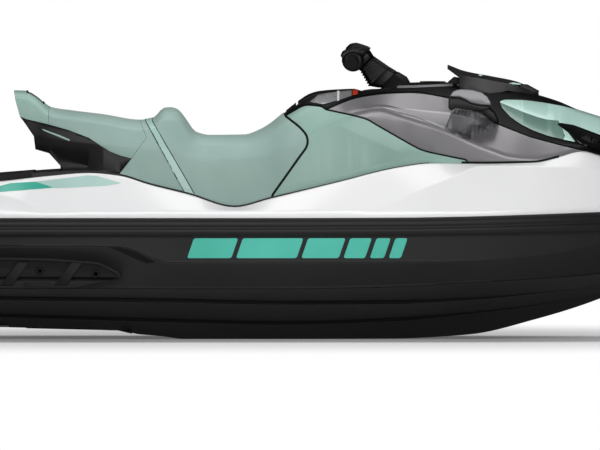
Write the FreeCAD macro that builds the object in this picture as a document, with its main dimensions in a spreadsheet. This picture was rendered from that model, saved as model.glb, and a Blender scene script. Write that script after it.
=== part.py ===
import FreeCAD, Part
import math
import os

import Sketcher
from FreeCAD import Placement, Rotation, Vector

# A three-seat personal watercraft, built as separate pieces in millimetres.
# Working coordinates: x runs forward from the stern, y to port, z up from the keel.
# Every sub-part is then placed so that the origin is on the waterline, see finishPart.

doc = FreeCAD.newDocument("PersonalWatercraft")
sheet = doc.addObject("Spreadsheet::Sheet", "Sizes")

# name, millimetres or degrees, what it sets
SIZES = [
    ("originStation", 1450.0, "origin, forward of the stern"),
    ("waterlineHeight", 256.0, "still waterline above the keel"),
    ("bondHeight", 455.0, "flat joint between hull and deck, above the keel"),
    ("transomStation", 70.0, "hull's rear face"),
    ("skinGap", 0.4, "air between a piece and the curved surface it is set on"),
    ("panelGap", 5.0, "shut line between neighbouring panels"),
    ("lidGap", 7.0, "shut line round an opening lid"),
    ("panelWall", 12.0, "thickness of the body panels"),
    ("trayWall", 10.0, "deck thickness under the footwells"),
    ("footwellFloor", 415.0, "footwell floor above the keel"),
    ("wellRear", 828.0, "rear end of the footwells' level floor"),
    ("wellFront", 1942.0, "front end of the footwells' level floor"),
    ("pedestalHalf", 207.0, "half width of the deck between the footwells"),
    ("railProud", 20.0, "rub rail beyond the deck side"),
    ("railRoot", 15.0, "depth of the rub rail's seat before it is trimmed"),
    ("matThick", 6.0, "foam mats"),
    ("tunnelHalf", 125.0, "half width of the pump tunnel"),
    ("tunnelLength", 540.0, "front wall of the pump tunnel"),
    ("tunnelRoof", 335.0, "roof of the pump tunnel"),
    ("ductHalf", 80.0, "half width of the intake duct"),
    ("pumpAxisHeight", 165.0, "jet pump axis above the keel"),
    ("pumpBore", 78.0, "pump housing bore radius"),
    ("pumpWall", 14.0, "pump housing wall"),
    ("pumpFront", 540.0, "front face of the pump housing"),
    ("pumpRear", 175.0, "rear lip of the fixed venturi"),
    ("venturiStation", 320.0, "start of the venturi taper"),
    ("venturiBore", 47.0, "venturi outlet radius"),
    ("venturiEnd", 245.0, "forward end of the venturi's straight spout"),
    ("hubRadius", 32.0, "impeller and stator hub radius"),
    ("bladeTip", 75.0, "impeller blade tip radius"),
    ("rotorFront", 510.0, "front of the impeller"),
    ("rotorLength", 80.0, "impeller length"),
    ("statorFront", 400.0, "front of the stator vanes"),
    ("statorLength", 70.0, "stator vane length"),
    ("shaftRadius", 14.0, "drive shaft radius"),
    ("shaftClear", 1.0, "running clearance of the drive shaft in the hull"),
    ("nozzlePivot", 190.0, "nozzle pivot station"),
    ("nozzleRear", 75.0, "nozzle outlet station"),
    ("nozzleBore", 42.0, "nozzle outlet radius"),
    ("nozzleWall", 7.0, "nozzle wall"),
    ("nozzleCup", 68.0, "inner radius of the nozzle round the venturi spout"),
    ("pinRadius", 6.0, "nozzle pivot pins"),
    ("pinClear", 0.05, "running clearance of a pin in its bore"),
    ("hingePin", 4.0, "pins of the hood, glovebox and boarding step hinges"),
    ("hingeBarrel", 8.0, "hinge barrels"),
    ("lidHingeStation", 1871.0, "glovebox lid hinge"),
    ("lidHingeHeight", 965.0, "glovebox lid hinge"),
    ("hoodHingeStation", 3188.0, "hood hinge"),
    ("hoodHingeHeight", 612.0, "hood hinge"),
    ("bucketPin", 8.0, "reverse bucket pins"),
    ("columnRadius", 18.0, "steering column"),
    ("bucketRadius", 150.0, "inner radius of the reverse bucket about its pivot"),
    ("bucketWall", 8.0, "reverse bucket wall"),
    ("bucketHalf", 100.0, "half width of the reverse bucket"),
    ("bucketStart", 28.0, "lower edge angle of the parked bucket above the stern direction"),
    ("bucketSweep", 62.0, "angle that the bucket's shell covers"),
    ("plateThick", 9.0, "ride plate"),
    ("plateBottom", 47.0, "ride plate underside above the keel"),
    ("grateBar", 9.0, "width of an intake grate bar"),
    ("engineLength", 620.0, "engine block"),
    ("engineWidth", 340.0, "engine block"),
    ("engineHeight", 330.0, "engine block"),
    ("engineRear", 1140.0, "rear face of the engine block"),
    ("bayFloor", 102.0, "engine bay floor above the keel"),
    ("bayClear", 20.0, "air between the engine block and the bay wall"),
    ("binRear", 2330.0, "front storage bin"),
    ("binLength", 550.0, "front storage bin"),
    ("binHalf", 190.0, "front storage bin half width"),
    ("binFloor", 520.0, "underside of the bin above the keel"),
    ("binRim", 735.0, "rim of the bin above the keel"),
    ("tubWall", 4.0, "wall of the storage tubs"),
    ("gloveRear", 1702.0, "glovebox tub"),
    ("gloveLength", 148.0, "glovebox tub"),
    ("gloveHalf", 88.0, "glovebox tub half width"),
    ("gloveFloor", 795.0, "underside of the glovebox tub"),
    ("gloveRim", 888.0, "rim of the glovebox tub"),
    ("lidRear", 1645.0, "glovebox lid"),
    ("lidLength", 222.0, "glovebox lid"),
    ("lidHalf", 108.0, "glovebox lid half width"),
    ("steerStation", 2006.0, "steering pivot"),
    ("steerHeight", 1003.0, "steering pivot above the keel"),
    ("steerTilt", 45.0, "steering axis above the horizontal, leaning aft"),
    ("barRadius", 11.0, "handlebar tube radius"),
    ("barHeight", 150.0, "handlebar along the steering axis from the pivot"),
    ("barHalf", 392.0, "half span of the handlebar"),
    ("barSweep", 67.0, "how far the bar ends are swept aft"),
    ("gripRadius", 17.0, "grip radius"),
    ("gripLength", 120.0, "grip length"),
    ("eyeRing", 9.0, "width of the ring of a tow or tie-down eye"),
    ("eyeThick", 10.0, "thickness of an eye"),
    ("eyeBore", 14.0, "radius of the hole in an eye"),
    ("socketRadius", 17.0, "accessory socket radius in the platform"),
    ("socketDepth", 40.0, "accessory socket depth"),
    ("socketStation", 330.0, "accessory sockets, forward of the stern"),
    ("socketHalf", 220.0, "accessory sockets, off the centreline"),
    ("ladderHalf", 165.0, "half width of the boarding step"),
    ("ladderArm", 165.0, "length of the boarding step's arms"),
    ("ladderPivot", 270.0, "boarding step pivot above the keel"),
    ("ladderTube", 11.0, "boarding step tube radius"),
]
for row, (alias, value, note) in enumerate(SIZES, start=1):
    sheet.set("A%d" % row, alias)
    sheet.set("B%d" % row, str(value))
    sheet.set("C%d" % row, note)
    sheet.setAlias("B%d" % row, alias)
doc.recompute()


def size(alias):
    return float(sheet.get(alias))


def bind(feature, **cells):
    """Ties properties of a feature to expressions over the sheet's names."""
    for prop, expression in cells.items():
        feature.setExpression(prop.replace("_", "."), expression)
    return feature


# ---------------------------------------------------------------- form tables
# Outer side of hull and deck in plan: station, half breadth
GUNWALE = [
    (0, 497), (70, 538), (200, 568), (500, 592), (900, 603), (1400, 606), (1900, 600),
    (2300, 567), (2600, 508), (2850, 427), (3050, 330), (3200, 222), (3270, 140), (3298, 60),
]
# Rub rail: station, lower edge height, upper edge height
RAIL = [(0, 402, 471), (1400, 402, 471), (2000, 404, 472), (2800, 419, 492), (3298, 442, 514)]
# Hull half sections: station, keel height, inner strake y z, outer strake y z, chine y z, knuckle y z
HULL = [
    (70, 0, 245, 98, 400, 160, 490, 201, 522, 363),
    (400, 0, 224, 89, 392, 157, 503, 200, 564, 363),
    (960, 0, 180, 72, 370, 149, 510, 200, 584, 361),
    (1160, 0, 168, 66, 362, 146, 510, 199, 572, 299),
    (1600, 0, 140, 56, 343, 137, 508, 199, 574, 298),
    (2000, 1, 150, 69, 326, 139, 490, 206, 566, 301),
    (2300, 17, 160, 97, 292, 154, 452, 221, 530, 309),
    (2560, 77, 120, 131, 232, 178, 392, 236, 462, 328),
    (2800, 154, 72, 179, 146, 207, 300, 255, 392, 372),
    (3050, 274, 40, 287, 82, 303, 178, 330, 288, 423),
    (3200, 377, 20, 384, 42, 392, 92, 409, 180, 450),
    (3300, 466, 7, 468, 14, 470, 32, 473, 48, 476),
]
# Deck half sections: station, crease y z, top edge y z, middle height
DECK = [
    (0, 487, 518, 452, 560, 580), (200, 557, 545, 500, 582, 598),
    (505, 578, 557, 514, 608, 619), (703, 592, 503, 516, 630, 634),
    (849, 600, 499, 520, 641, 641), (964, 601, 498, 524, 631, 631),
    (1079, 603, 498, 530, 597, 597), (1232, 604, 498, 540, 559, 559),
    (1404, 604, 498, 548, 511, 511), (1538, 604, 498, 542, 543, 543),
    (1653, 603, 499, 535, 571, 571), (1844, 600, 501, 518, 618, 618),
    (1935, 592, 511, 504, 642, 642), (2035, 577, 545, 490, 663, 663),
    (2150, 548, 592, 466, 677, 677), (2238, 512, 628, 448, 676, 676),
    (2341, 468, 668, 436, 675, 675), (2544, 448, 666, 414, 682, 682),
    (2720, 408, 655, 352, 725, 725), (2801, 384, 645, 326, 705, 705),
    (3000, 292, 612, 232, 648, 648), (3145, 204, 582, 148, 607, 607),
    (3250, 112, 556, 80, 572, 572), (3298, 50, 540, 36, 548, 548),
]
# Saddle and cowl envelope, half sections: station, foot half width, waist y z, shoulder y z, crown y z,
# middle height.
# The foot's height is the deck's top, less footSink.
BODY = [
    (550, 140, 150, 800, 142, 915, 118, 948, 953), (612, 150, 160, 790, 152, 912, 120, 946, 951),
    (645, 156, 166, 785, 158, 895, 122, 928, 933), (700, 165, 178, 775, 172, 856, 126, 884, 889),
    (780, 175, 190, 762, 182, 845, 130, 871, 876), (900, 190, 200, 750, 186, 828, 130, 857, 861),
    (1041, 203, 204, 738, 184, 806, 126, 836, 840), (1090, 206, 203, 732, 180, 812, 120, 843, 847),
    (1134, 208, 203, 730, 170, 846, 112, 881, 886), (1160, 209, 202, 725, 166, 849, 106, 883, 888),
    (1186, 210, 201, 718, 164, 840, 106, 875, 880), (1214, 211, 200, 706, 164, 808, 108, 842, 847),
    (1254, 212, 199, 692, 163, 760, 110, 790, 795), (1308, 214, 198, 684, 160, 748, 110, 777, 782),
    (1442, 219, 201, 690, 156, 748, 104, 778, 784), (1492, 222, 206, 696, 158, 762, 104, 794, 800),
    (1530, 225, 212, 704, 163, 784, 106, 815, 821), (1580, 231, 226, 722, 174, 820, 112, 854, 860),
    (1620, 235, 234, 745, 182, 850, 114, 884, 893), (1653, 238, 240, 762, 185, 868, 112, 909, 918),
    (1684, 240, 245, 779, 185, 882, 111, 930, 938), (1726, 243, 251, 802, 184, 894, 110, 943, 951),
    (1800, 250, 264, 842, 187, 906, 112, 948, 958),
    (1860, 257, 277, 868, 192, 925, 116, 951, 960), (1895, 263, 283, 876, 195, 934, 120, 946, 950),
    (1955, 276, 294, 886, 200, 941, 132, 952, 956), (2025, 296, 314, 868, 207, 947, 150, 966, 968),
    (2077, 312, 331, 850, 212, 947, 156, 977, 983), (2150, 334, 355, 826, 218, 942, 156, 978, 985),
    (2231, 360, 386, 794, 226, 923, 152, 976, 984), (2300, 384, 410, 761, 262, 888, 146, 972, 981),
    (2391, 408, 428, 722, 316, 836, 136, 961, 971), (2445, 416, 430, 702, 340, 810, 132, 951, 962),
    (2531, 414, 424, 692, 364, 780, 127, 934, 945), (2640, 384, 394, 706, 362, 750, 124, 902, 913),
    (2720, 350, 359, 729, 346, 744, 122, 868, 879), (2801, 322, 331, 712, 322, 730, 118, 842, 853),
    (2900, 276, 284, 684, 278, 706, 110, 812, 823), (3000, 226, 233, 656, 228, 684, 98, 782, 793),
    (3090, 172, 178, 630, 175, 662, 82, 742, 752), (3145, 132, 137, 612, 135, 640, 66, 696, 704),
    (3175, 104, 108, 600, 107, 616, 52, 640, 646),
]
# Shut lines in the side view: station, height
SEAT_JOINT = [(1041, 1100), (1041, 838), (1067, 773), (1010, 693), (962, 632), (962, 560)]
CUSHION_BASE = [(690, 823), (769, 801), (847, 771), (891, 742), (930, 718), (969, 703), (1010, 693)]
SEAT_NOSE = [(1548, 470), (1548, 552), (1655, 703), (1683, 740), (1683, 778), (1655, 812), (1597, 856),
             (1588, 1100)]
PANEL_TOP = [(1597, 856), (1632, 877), (1661, 893), (1684, 898), (1736, 892), (1752, 880)]
COWL_BASE = [(1752, 880), (1866, 856), (1912, 843), (1940, 825), (2092, 738), (2127, 722), (2286, 690),
             (2330, 600)]
COWL_TOP = [(1752, 880), (1850, 922), (1955, 941), (2107, 947), (2234, 922)]
HOOD_BASE = [(2234, 922), (2330, 868), (2391, 832), (2531, 777), (2640, 748), (2726, 727), (2740, 600)]


def slopes(xs, ys):
    """Slopes that keep an interpolated line from swinging past its points."""
    steps = [(ys[i + 1] - ys[i]) / (xs[i + 1] - xs[i]) for i in range(len(xs) - 1)]
    inner = []
    for i in range(1, len(xs) - 1):
        before, after = steps[i - 1], steps[i]
        if before * after <= 0:
            inner.append(0.0)
            continue
        wide = xs[i + 1] - xs[i]
        near = xs[i] - xs[i - 1]
        w1, w2 = 2 * wide + near, wide + 2 * near
        inner.append((w1 + w2) / (w1 / before + w2 / after))
    return [steps[0]] + inner + [steps[-1]]


def at(table, x, column=1):
    """A table's column at any station, on the same curve that the skins follow."""
    xs = [row[0] for row in table]
    ys = [row[column] for row in table]
    x = min(max(x, xs[0]), xs[-1])
    ms = slopes(xs, ys)
    i = max(k for k in range(len(xs) - 1) if xs[k] <= x)
    step = xs[i + 1] - xs[i]
    t = (x - xs[i]) / step
    return (
        (2 * t**3 - 3 * t**2 + 1) * ys[i] + (t**3 - 2 * t**2 + t) * step * ms[i]
        + (3 * t**2 - 2 * t**3) * ys[i + 1] + (t**3 - t**2) * step * ms[i + 1]
    )


def lineEdge(points, marks):
    """A smooth edge through points, with marks as its parameters."""
    columns = [slopes(marks, [p[k] for p in points]) for k in range(3)]
    curve = Part.BSplineCurve()
    curve.interpolate(
        Points=points, Parameters=[float(m) for m in marks],
        Tangents=[Vector(*t) for t in zip(*columns)], TangentFlags=[True] * len(points),
    )
    return curve.toShape()


def skinRings(rings, marks):
    """A solid through rings of points, smooth along the marks and straight from line to line."""
    count = len(rings[0])
    edges = [lineEdge([ring[k] for ring in rings], marks) for k in range(count)]
    faces = [Part.makeRuledSurface(edges[k], edges[(k + 1) % count]) for k in range(count)]
    for ring in (rings[0], rings[-1]):
        faces.append(Part.Face(Part.makePolygon(list(ring) + [ring[0]])))
    shell = Part.makeShell(faces)
    shell.sewShape()
    solid = Part.makeSolid(shell)
    if solid.Volume < 0:
        solid.reverse()
    return solid


def skin(halves):
    """A symmetric solid. halves: rows of station and half section, from keel to crown."""
    rings = []
    for x, half in halves:
        port = [Vector(x, y, z) for y, z in half]
        starboard = [Vector(x, -y, z) for y, z in reversed(half) if y > 0]
        rings.append(port + starboard)
    return skinRings(rings, [x for x, half in halves])


def inset(half, depth):
    """A half section moved inwards by depth, square to its sides. Its ends stay on the centreline."""
    ring = [(-half[1][0], half[1][1])] + list(half) + [(-half[-2][0], half[-2][1])]
    moved = []
    for before, here, after in zip(ring, ring[1:], ring[2:]):
        normals = []
        for a, b in ((before, here), (here, after)):
            length = math.hypot(b[0] - a[0], b[1] - a[1])
            normals.append(((a[1] - b[1]) / length, (b[0] - a[0]) / length))
        ny = normals[0][0] + normals[1][0]
        nz = normals[0][1] + normals[1][1]
        long = math.hypot(ny, nz)
        reach = depth / max(0.5, long / 2)
        y = here[0] + reach * ny / long if here[0] > 0 else 0.0
        moved.append((max(y, 0.0), here[1] + reach * nz / long))
    return moved


def box(x0, x1, y0, y1, z0, z1):
    return Part.makeBox(x1 - x0, y1 - y0, z1 - z0, Vector(x0, y0, z0))


def slab(outline, y0, y1):
    """A side-view outline of stations and heights, drawn out from y0 to y1."""
    points = [Vector(x, y0, z) for x, z in outline]
    face = Part.Face(Part.makePolygon(points + [points[0]]))
    return face.extrude(Vector(0, y1 - y0, 0))


def region(outline, shrink=0.0):
    """The whole width of the craft inside a side-view outline, drawn in by shrink."""
    points = [Vector(x, -700, z) for x, z in outline]
    face = Part.Face(Part.makePolygon(points + [points[0]]))
    if shrink:
        face = face.makeOffset2D(-shrink, 2)
    return face.extrude(Vector(0, 1400, 0))


def turned(profile, height):
    """A solid turned about the pump axis. profile: stations and radii."""
    points = [Vector(x, 0, r) for x, r in profile]
    face = Part.Face(Part.makePolygon(points + [points[0]]))
    solid = face.revolve(Vector(0, 0, 0), Vector(1, 0, 0), 360)
    solid.translate(Vector(0, 0, height))
    return solid


def mirrored(shape):
    return shape.mirror(Vector(0, 0, 0), Vector(0, 1, 0))


def raised(shape, lift):
    copy = shape.copy()
    copy.translate(Vector(0, 0, lift))
    return copy


def parted(shape, *spans):
    """Lengths of a moulding with flat joints between them. spans: boxes, first and last x, then y and z."""
    return Part.makeCompound([shape.common(box(*span)).Solids[0] for span in spans])


# ------------------------------------------------------------ document helpers
nodes = []


def finishPart(feature, node):
    """Names a finished sub-part and moves it so that the origin is on the waterline."""
    feature.Label = node
    move = Placement(Vector(-size("originStation"), 0, -size("waterlineHeight")), Rotation())
    feature.Placement = move.multiply(feature.Placement)
    nodes.append(feature)
    return feature


def formed(node, shape):
    """A sub-part whose form comes from tables or from cutting one form by another."""
    feature = doc.addObject("Part::Feature", node)
    solids = shape.Solids
    feature.Shape = solids[0] if len(solids) == 1 else Part.makeCompound(solids)
    return finishPart(feature, node)


def primitive(kind, name, at=None, rotation=None, **cells):
    """A Part primitive with its sizes tied to the sheet. at: three expressions."""
    feature = doc.addObject("Part::" + kind, name)
    bind(feature, **cells)
    if rotation:
        feature.Placement = Placement(Vector(), rotation)
    for axis, expression in zip("xyz", at or ()):
        feature.setExpression("Placement.Base." + axis, expression)
    return feature


def joined(name, *shapes):
    feature = doc.addObject("Part::MultiFuse", name)
    feature.Shapes = list(shapes)
    return feature


def group(name, *parts):
    feature = doc.addObject("Part::Compound", name)
    feature.Links = list(parts)
    return feature


def sketchOn(body, plane, points):
    """A closed outline on one of a body's origin planes. points: pairs of expressions."""
    support = next(f for f in body.Origin.OriginFeatures if f.Role == plane)
    sketch = body.newObject("Sketcher::SketchObject", body.Name + "Outline")
    sketch.AttachmentSupport = [(support, "")]
    sketch.MapMode = "FlatFace"
    spots = [tuple(float(doc.Sizes.evalExpression(e)) for e in pair) for pair in points]
    count = len(spots)
    for k in range(count):
        a, b = spots[k], spots[(k + 1) % count]
        sketch.addGeometry(Part.LineSegment(Vector(a[0], a[1], 0), Vector(b[0], b[1], 0)))
    for k in range(count):
        sketch.addConstraint(Sketcher.Constraint("Coincident", k, 2, (k + 1) % count, 1))
    for k, pair in enumerate(points):
        for kind, value, expression in zip(("DistanceX", "DistanceY"), spots[k], pair):
            index = sketch.addConstraint(Sketcher.Constraint(kind, -1, 1, k, 1, value))
            sketch.setExpression("Constraints[%d]" % index, expression.replace("<<Sizes>>", "Sizes"))
    return sketch


# -------------------------------------------------------------------- hull form
bond = size("bondHeight")
footSink = 20.0
stripTop = 20.0


def hullHalf(row):
    x, keel, s2y, s2z, s1y, s1z, cy, cz, ky, kz = row
    fade = min(1.0, max(0.08, (2750 - x) / 700))
    ledge, riser = 26 * fade, 11 * fade
    pad = min(18.0, s2y / 4)
    return [
        (0, keel), (pad, keel + 0.5), (s2y - ledge, s2z), (s2y, s2z), (s2y + 2 * fade, s2z + riser),
        (s1y - ledge, s1z), (s1y, s1z), (s1y + 2 * fade, s1z + riser),
        (cy - ledge / 2, cz - 2 * fade), (cy, cz), (cy + 3 * fade, cz + riser),
        (ky, kz), (ky - 5 * fade, kz + 4 * fade), (at(GUNWALE, x) - 3, 480), (0, 480),
    ]


hullForm = skin([(row[0], hullHalf(row)) for row in HULL])


def deckHalf(row):
    x, cy, cz, ty, tz, middle = row
    edge = at(GUNWALE, x)
    return [(0, 430), (edge, 430), (edge, at(RAIL, x, 2) + stripTop), (cy, cz), (ty, tz), (0, middle)]


deckForm = skin([(row[0], deckHalf(row)) for row in DECK])


def footHeight(x):
    return at(DECK, x, 4) - footSink


def bodyHalf(row):
    x, foot, wy, wz, sy, sz, cy, cz, middle = row
    z = footHeight(x)
    return [(0, z), (foot, z), (wy, wz), (sy, sz), (cy, cz), (0, middle)]


envelope = skin([(row[0], bodyHalf(row)) for row in BODY])
core = skin([(row[0], inset(bodyHalf(row), size("panelWall"))) for row in BODY])
core = core.common(box(500, BODY[-1][0] - size("panelWall"), -700, 700, 300, 1200))
shellForm = envelope.cut(core)


def footwellRing(x, floor, inner, outer, top):
    return [Vector(x, inner + 6, floor), Vector(x, outer - 22, floor),
            Vector(x, outer, top), Vector(x, inner, top)]


def footwellForm(floorLift, grow, top, rearRamp):
    """Footwell or its tray on the port side. floorLift moves the floor, grow widens it all round."""
    floor = size("footwellFloor") + floorLift
    inner = size("pedestalHalf") - grow
    ramp = 1 if rearRamp else 0
    rows = []
    if rearRamp:
        rows.append(footwellRing(640, 652, inner, at(DECK, 640, 3) - 42 + grow, top))
        rows.append(footwellRing(700, 560, inner, at(DECK, 700, 3) - 42 + grow, top))
    for x in (800 - grow, 900, 1100, 1400, 1700, 1950):
        rows.append(footwellRing(x, floor, inner, at(DECK, x, 3) - 42 + grow, top))
    rows.append(footwellRing(2120, floor + 16 * ramp, inner + 60, at(DECK, 2120, 3) - 70 + grow, top))
    rows.append(footwellRing(2160 + grow, floor + 30 * ramp, inner + 90, at(DECK, 2150, 3) - 90 + grow, top))
    return skinRings(rows, [ring[0].x for ring in rows])


footwell = footwellForm(0.0, 0.0, 1200, True)
tray = footwellForm(-size("trayWall"), size("trayWall"), bond + 4, False).common(
    box(700, 2250, 0, 700, 300, bond + 4)
)

# hull: cut flat at the joint, with pump tunnel, intake, engine bay and room for the trays
axisZ = size("pumpAxisHeight")
tunnelHalf = size("tunnelHalf")
keelEnd = [(-20, -20), (1200, -20), (1200, 0), (1125, 11), (1033, 19), (959, 37), (505, size("plateBottom")),
           (-20, size("plateBottom"))]
ductSide = [(1010, 0), (1010, 44), (880, 130), (760, 215), (690, 245), (545, 245), (545, 85), (600, 62),
            (620, 0)]
hullShape = hullForm.cut(box(-50, 3400, -700, 700, bond, 600))
hullShape = hullShape.cut(slab(keelEnd, -tunnelHalf - 5, tunnelHalf + 5))
hullShape = hullShape.cut(box(0, size("tunnelLength"), -tunnelHalf, tunnelHalf, 0, size("tunnelRoof")))
hullShape = hullShape.cut(slab(ductSide, -size("ductHalf"), size("ductHalf")))
inlet = Part.makeCylinder(size("pumpBore"), 60, Vector(size("tunnelLength") - 20, 0, axisZ), Vector(1, 0, 0))
shaftTunnel = Part.makeCylinder(
    size("shaftRadius") + size("shaftClear"), size("engineRear") - 700, Vector(700, 0, axisZ), Vector(1, 0, 0)
)
engineHalf = size("engineWidth") / 2
bay = box(size("engineRear") - size("bayClear"), size("engineRear") + size("engineLength") + size("bayClear"),
          -engineHalf - size("bayClear") / 2, engineHalf + size("bayClear") / 2, size("bayFloor"), bond + 1)
hullShape = hullShape.cut(inlet).cut(shaftTunnel).cut(bay)
hullTray = tray.common(box(700, 2250, 0, 700, 300, bond))
hullShape = hullShape.cut(hullTray).cut(mirrored(hullTray))
wellFloor, wellInner = size("footwellFloor"), size("pedestalHalf") + 7
wellRear, wellFront = size("wellRear"), size("wellFront")
trayLow = wellFloor - size("trayWall")
formed("hull", parted(
    hullShape, (-50, 3400, -700, 700, -50, trayLow), (-50, wellRear, -700, 700, trayLow, 500),
    (wellRear, wellFront, -wellInner, wellInner, trayLow, 500),
    (wellRear, wellFront, wellInner, 700, trayLow, 500), (wellRear, wellFront, -700, -wellInner, trayLow, 500),
    (wellFront, 3400, -700, 700, trayLow, 500)))

# deck: white upper moulding with footwells, accessory sockets and the storage openings
deckShape = deckForm.cut(box(-50, 3400, -700, 700, 300, bond))
deckShape = deckShape.fuse(tray.common(box(700, 2250, 0, 700, 300, bond + 3)))
deckShape = deckShape.fuse(mirrored(tray.common(box(700, 2250, 0, 700, 300, bond + 3))))
deckShape = deckShape.cut(footwell).cut(mirrored(footwell))
binCut = box(size("binRear"), size("binRear") + size("binLength"), -size("binHalf"), size("binHalf"),
             size("binFloor"), 1100)
deckShape = deckShape.cut(binCut)
socketTop = at(DECK, size("socketStation"), 5)
for side in (1, -1):
    socketFoot = Vector(size("socketStation"), side * size("socketHalf"), socketTop - size("socketDepth"))
    deckShape = deckShape.cut(Part.makeCylinder(size("socketRadius"), 80, socketFoot))
rampRear, rampFront = 640, 2165
deckSpans = [(-50, rampRear, -700, 700, 300, 1200), (rampRear, rampFront, -wellInner, wellInner, 300, 1200),
             (rampFront, 3400, -700, 700, 300, 1200)]
for y0, y1 in ((wellInner, 700), (-700, -wellInner)):
    deckSpans += [(rampRear, wellRear, y0, y1, 300, 1200), (wellRear, wellFront, y0, y1, 300, wellFloor),
                  (wellRear, wellFront, y0, y1, wellFloor, 1200), (wellFront, rampFront, y0, y1, 300, 1200)]
formed("deck", parted(deckShape, *deckSpans))
deckLifted = raised(deckForm, size("skinGap"))


# rub rail round the gunwale, trimmed to hull and deck
def railForm():
    port = [Vector(x, at(GUNWALE, x), 0)
            for x in (12, 200, 500, 900, 1400, 1900, 2300, 2600, 2850, 3050, 3200, 3270)]
    nose = [Vector(3298, 60, 0), Vector(3300, 0, 0), Vector(3298, -60, 0)]
    track = port + nose + [Vector(p.x, -p.y, 0) for p in reversed(port)]
    marks = [0.0]
    for a, b in zip(track, track[1:]):
        marks.append(marks[-1] + a.distanceToPoint(b))
    rings = []
    for k, p in enumerate(track):
        along = track[min(k + 1, len(track) - 1)] - track[max(k - 1, 0)]
        out = Vector(along.y, -along.x, 0).normalize() * -1
        low, high = at(RAIL, p.x, 1), at(RAIL, p.x, 2)
        root, proud = -size("railRoot"), size("railProud")
        profile = [(root, low), (proud * 0.6, low), (proud, low + 13), (proud, high - 15),
                   (proud * 0.5, high), (root, high)]
        rings.append([p + out * reach + Vector(0, 0, z) for reach, z in profile])
    return skinRings(rings, marks)


railShape = railForm().cut(hullForm.cut(box(-50, 3400, -700, 700, bond, 600)))
railShape = railShape.cut(deckForm.cut(box(-50, 3400, -700, 700, 300, bond)))
railShape = max(railShape.Solids, key=lambda s: s.Volume)
railJoints = (1300, 2480)
formed("rub_rail", parted(
    railShape, (-50, railJoints[0], 0, 700, 300, 600), (-50, railJoints[0], -700, 0, 300, 600),
    (*railJoints, 0, 700, 300, 600), (*railJoints, -700, 0, 300, 600),
    (railJoints[1], 3400, -700, 700, 300, 600)))


# sponsons: moulded foils on the hull sides near the stern
SPONSON_SIDE = [(180, 206), (780, 206), (860, 214), (983, 246), (975, 262), (905, 306), (560, 320),
                (180, 318)]
sponsonBlock = slab(SPONSON_SIDE, 440, 622)
sponsonOuter = skinRings(
    [[Vector(x, 480, 190), Vector(x, 480, 330), Vector(x, y - 8, 330), Vector(x, y, 250), Vector(x, y, 190)]
     for x, y in ((150, 585), (500, 612), (800, 616), (990, 592))], [150, 500, 800, 990])
sponson = sponsonBlock.common(sponsonOuter)
for x in (345, 560, 775):
    pocket = [(x - 62, 232), (x + 58, 232), (x + 88, 258), (x + 22, 286), (x - 34, 286)]
    sponson = sponson.cut(slab(pocket, 596, 640))
sponson = sponson.cut(hullForm)
sponson = max(sponson.Solids, key=lambda s: s.Volume)
formed("sponsons", Part.makeCompound([sponson, mirrored(sponson)]))


# foam mats in the footwells and on the boarding platform
def footMat():
    floor = size("footwellFloor") + size("skinGap")
    rings = []
    for x in (815, 900, 1100, 1400, 1700, 1950, 2085):
        inner = size("pedestalHalf") + 16
        outer = at(DECK, x, 3) - 78
        if x > 2000:
            inner, outer = inner + 34, outer - 16
        rings.append([Vector(x, inner, floor), Vector(x, outer, floor),
                      Vector(x, outer, floor + size("matThick")), Vector(x, inner, floor + size("matThick"))])
    return skinRings(rings, [ring[0].x for ring in rings])


mat = footMat()
mat = mat.common(footwell)
formed("footwell_mats", Part.makeCompound([mat, mirrored(mat)]))


def deckTop(x, y):
    """Height of the deck between its top edge and its middle, at any station and half breadth."""
    return at(DECK, x, 5) + (at(DECK, x, 4) - at(DECK, x, 5)) * y / at(DECK, x, 3)


def platformHalf(x):
    edge = at([(25, 400), (70, 440), (300, 462), (560, 470), (640, 462)], x)
    low = size("skinGap") * 1.5
    high = low + size("matThick")
    return [(0, deckTop(x, 0) + low), (edge, deckTop(x, edge) + low), (edge, deckTop(x, edge) + high),
            (0, deckTop(x, 0) + high)]


platformMat = skin([(x, platformHalf(x)) for x in (25, 70, 130, 200, 300, 400, 505, 560, 600, 640)])
for side in (1, -1):
    platformMat = platformMat.cut(Part.makeCylinder(
        size("socketRadius") + 12, 900, Vector(size("socketStation"), side * size("socketHalf"), 0)))
formed("platform_mat", platformMat)

# ---------------------------------------------------------- saddle and its tail
gap = size("panelGap") / 2
openDeck = envelope.cut(deckLifted)
seatRear = [(700, 1100), (696, 893)] + CUSHION_BASE + SEAT_JOINT[2:0:-1] + [(1041, 1100)]
snug = size("skinGap")
formed("seat_rear", openDeck.common(region(seatRear, snug)))
seatFront = SEAT_JOINT[::-1] + SEAT_NOSE[::-1]
formed("seat_front", openDeck.common(region(seatFront, snug)))
TAIL = [(557, 960), (640, 960), (696, 893), (690, 823), (608, 842), (583, 852), (566, 912)]
tailSlot = box(612, 672, -112, 112, 700, 1100)
formed("grab_handle", openDeck.common(region(TAIL)).cut(tailSlot))
SUPPORT = [(583, 852), (608, 842)] + CUSHION_BASE + [
    (960, 630), (960, 560), (738, 560), (738, 664), (695, 712), (642, 727), (636, 777), (601, 828)]
formed("tail_support", openDeck.common(region(SUPPORT, 0.3)))

# ------------------------------------------------- body panels over the frame
frameRegion = region([(1608, 500), (1608, 600), (1672, 700), (1702, 736), (1702, 782), (1672, 816),
                      (1634, 878),
                      (1634, 1100), (3150, 1100), (3150, 400)])
gloveCut = box(size("gloveRear"), size("gloveRear") + size("gloveLength"), -size("gloveHalf"),
               size("gloveHalf"), size("gloveFloor"), 1100)
panelLift = size("skinGap")

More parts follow.
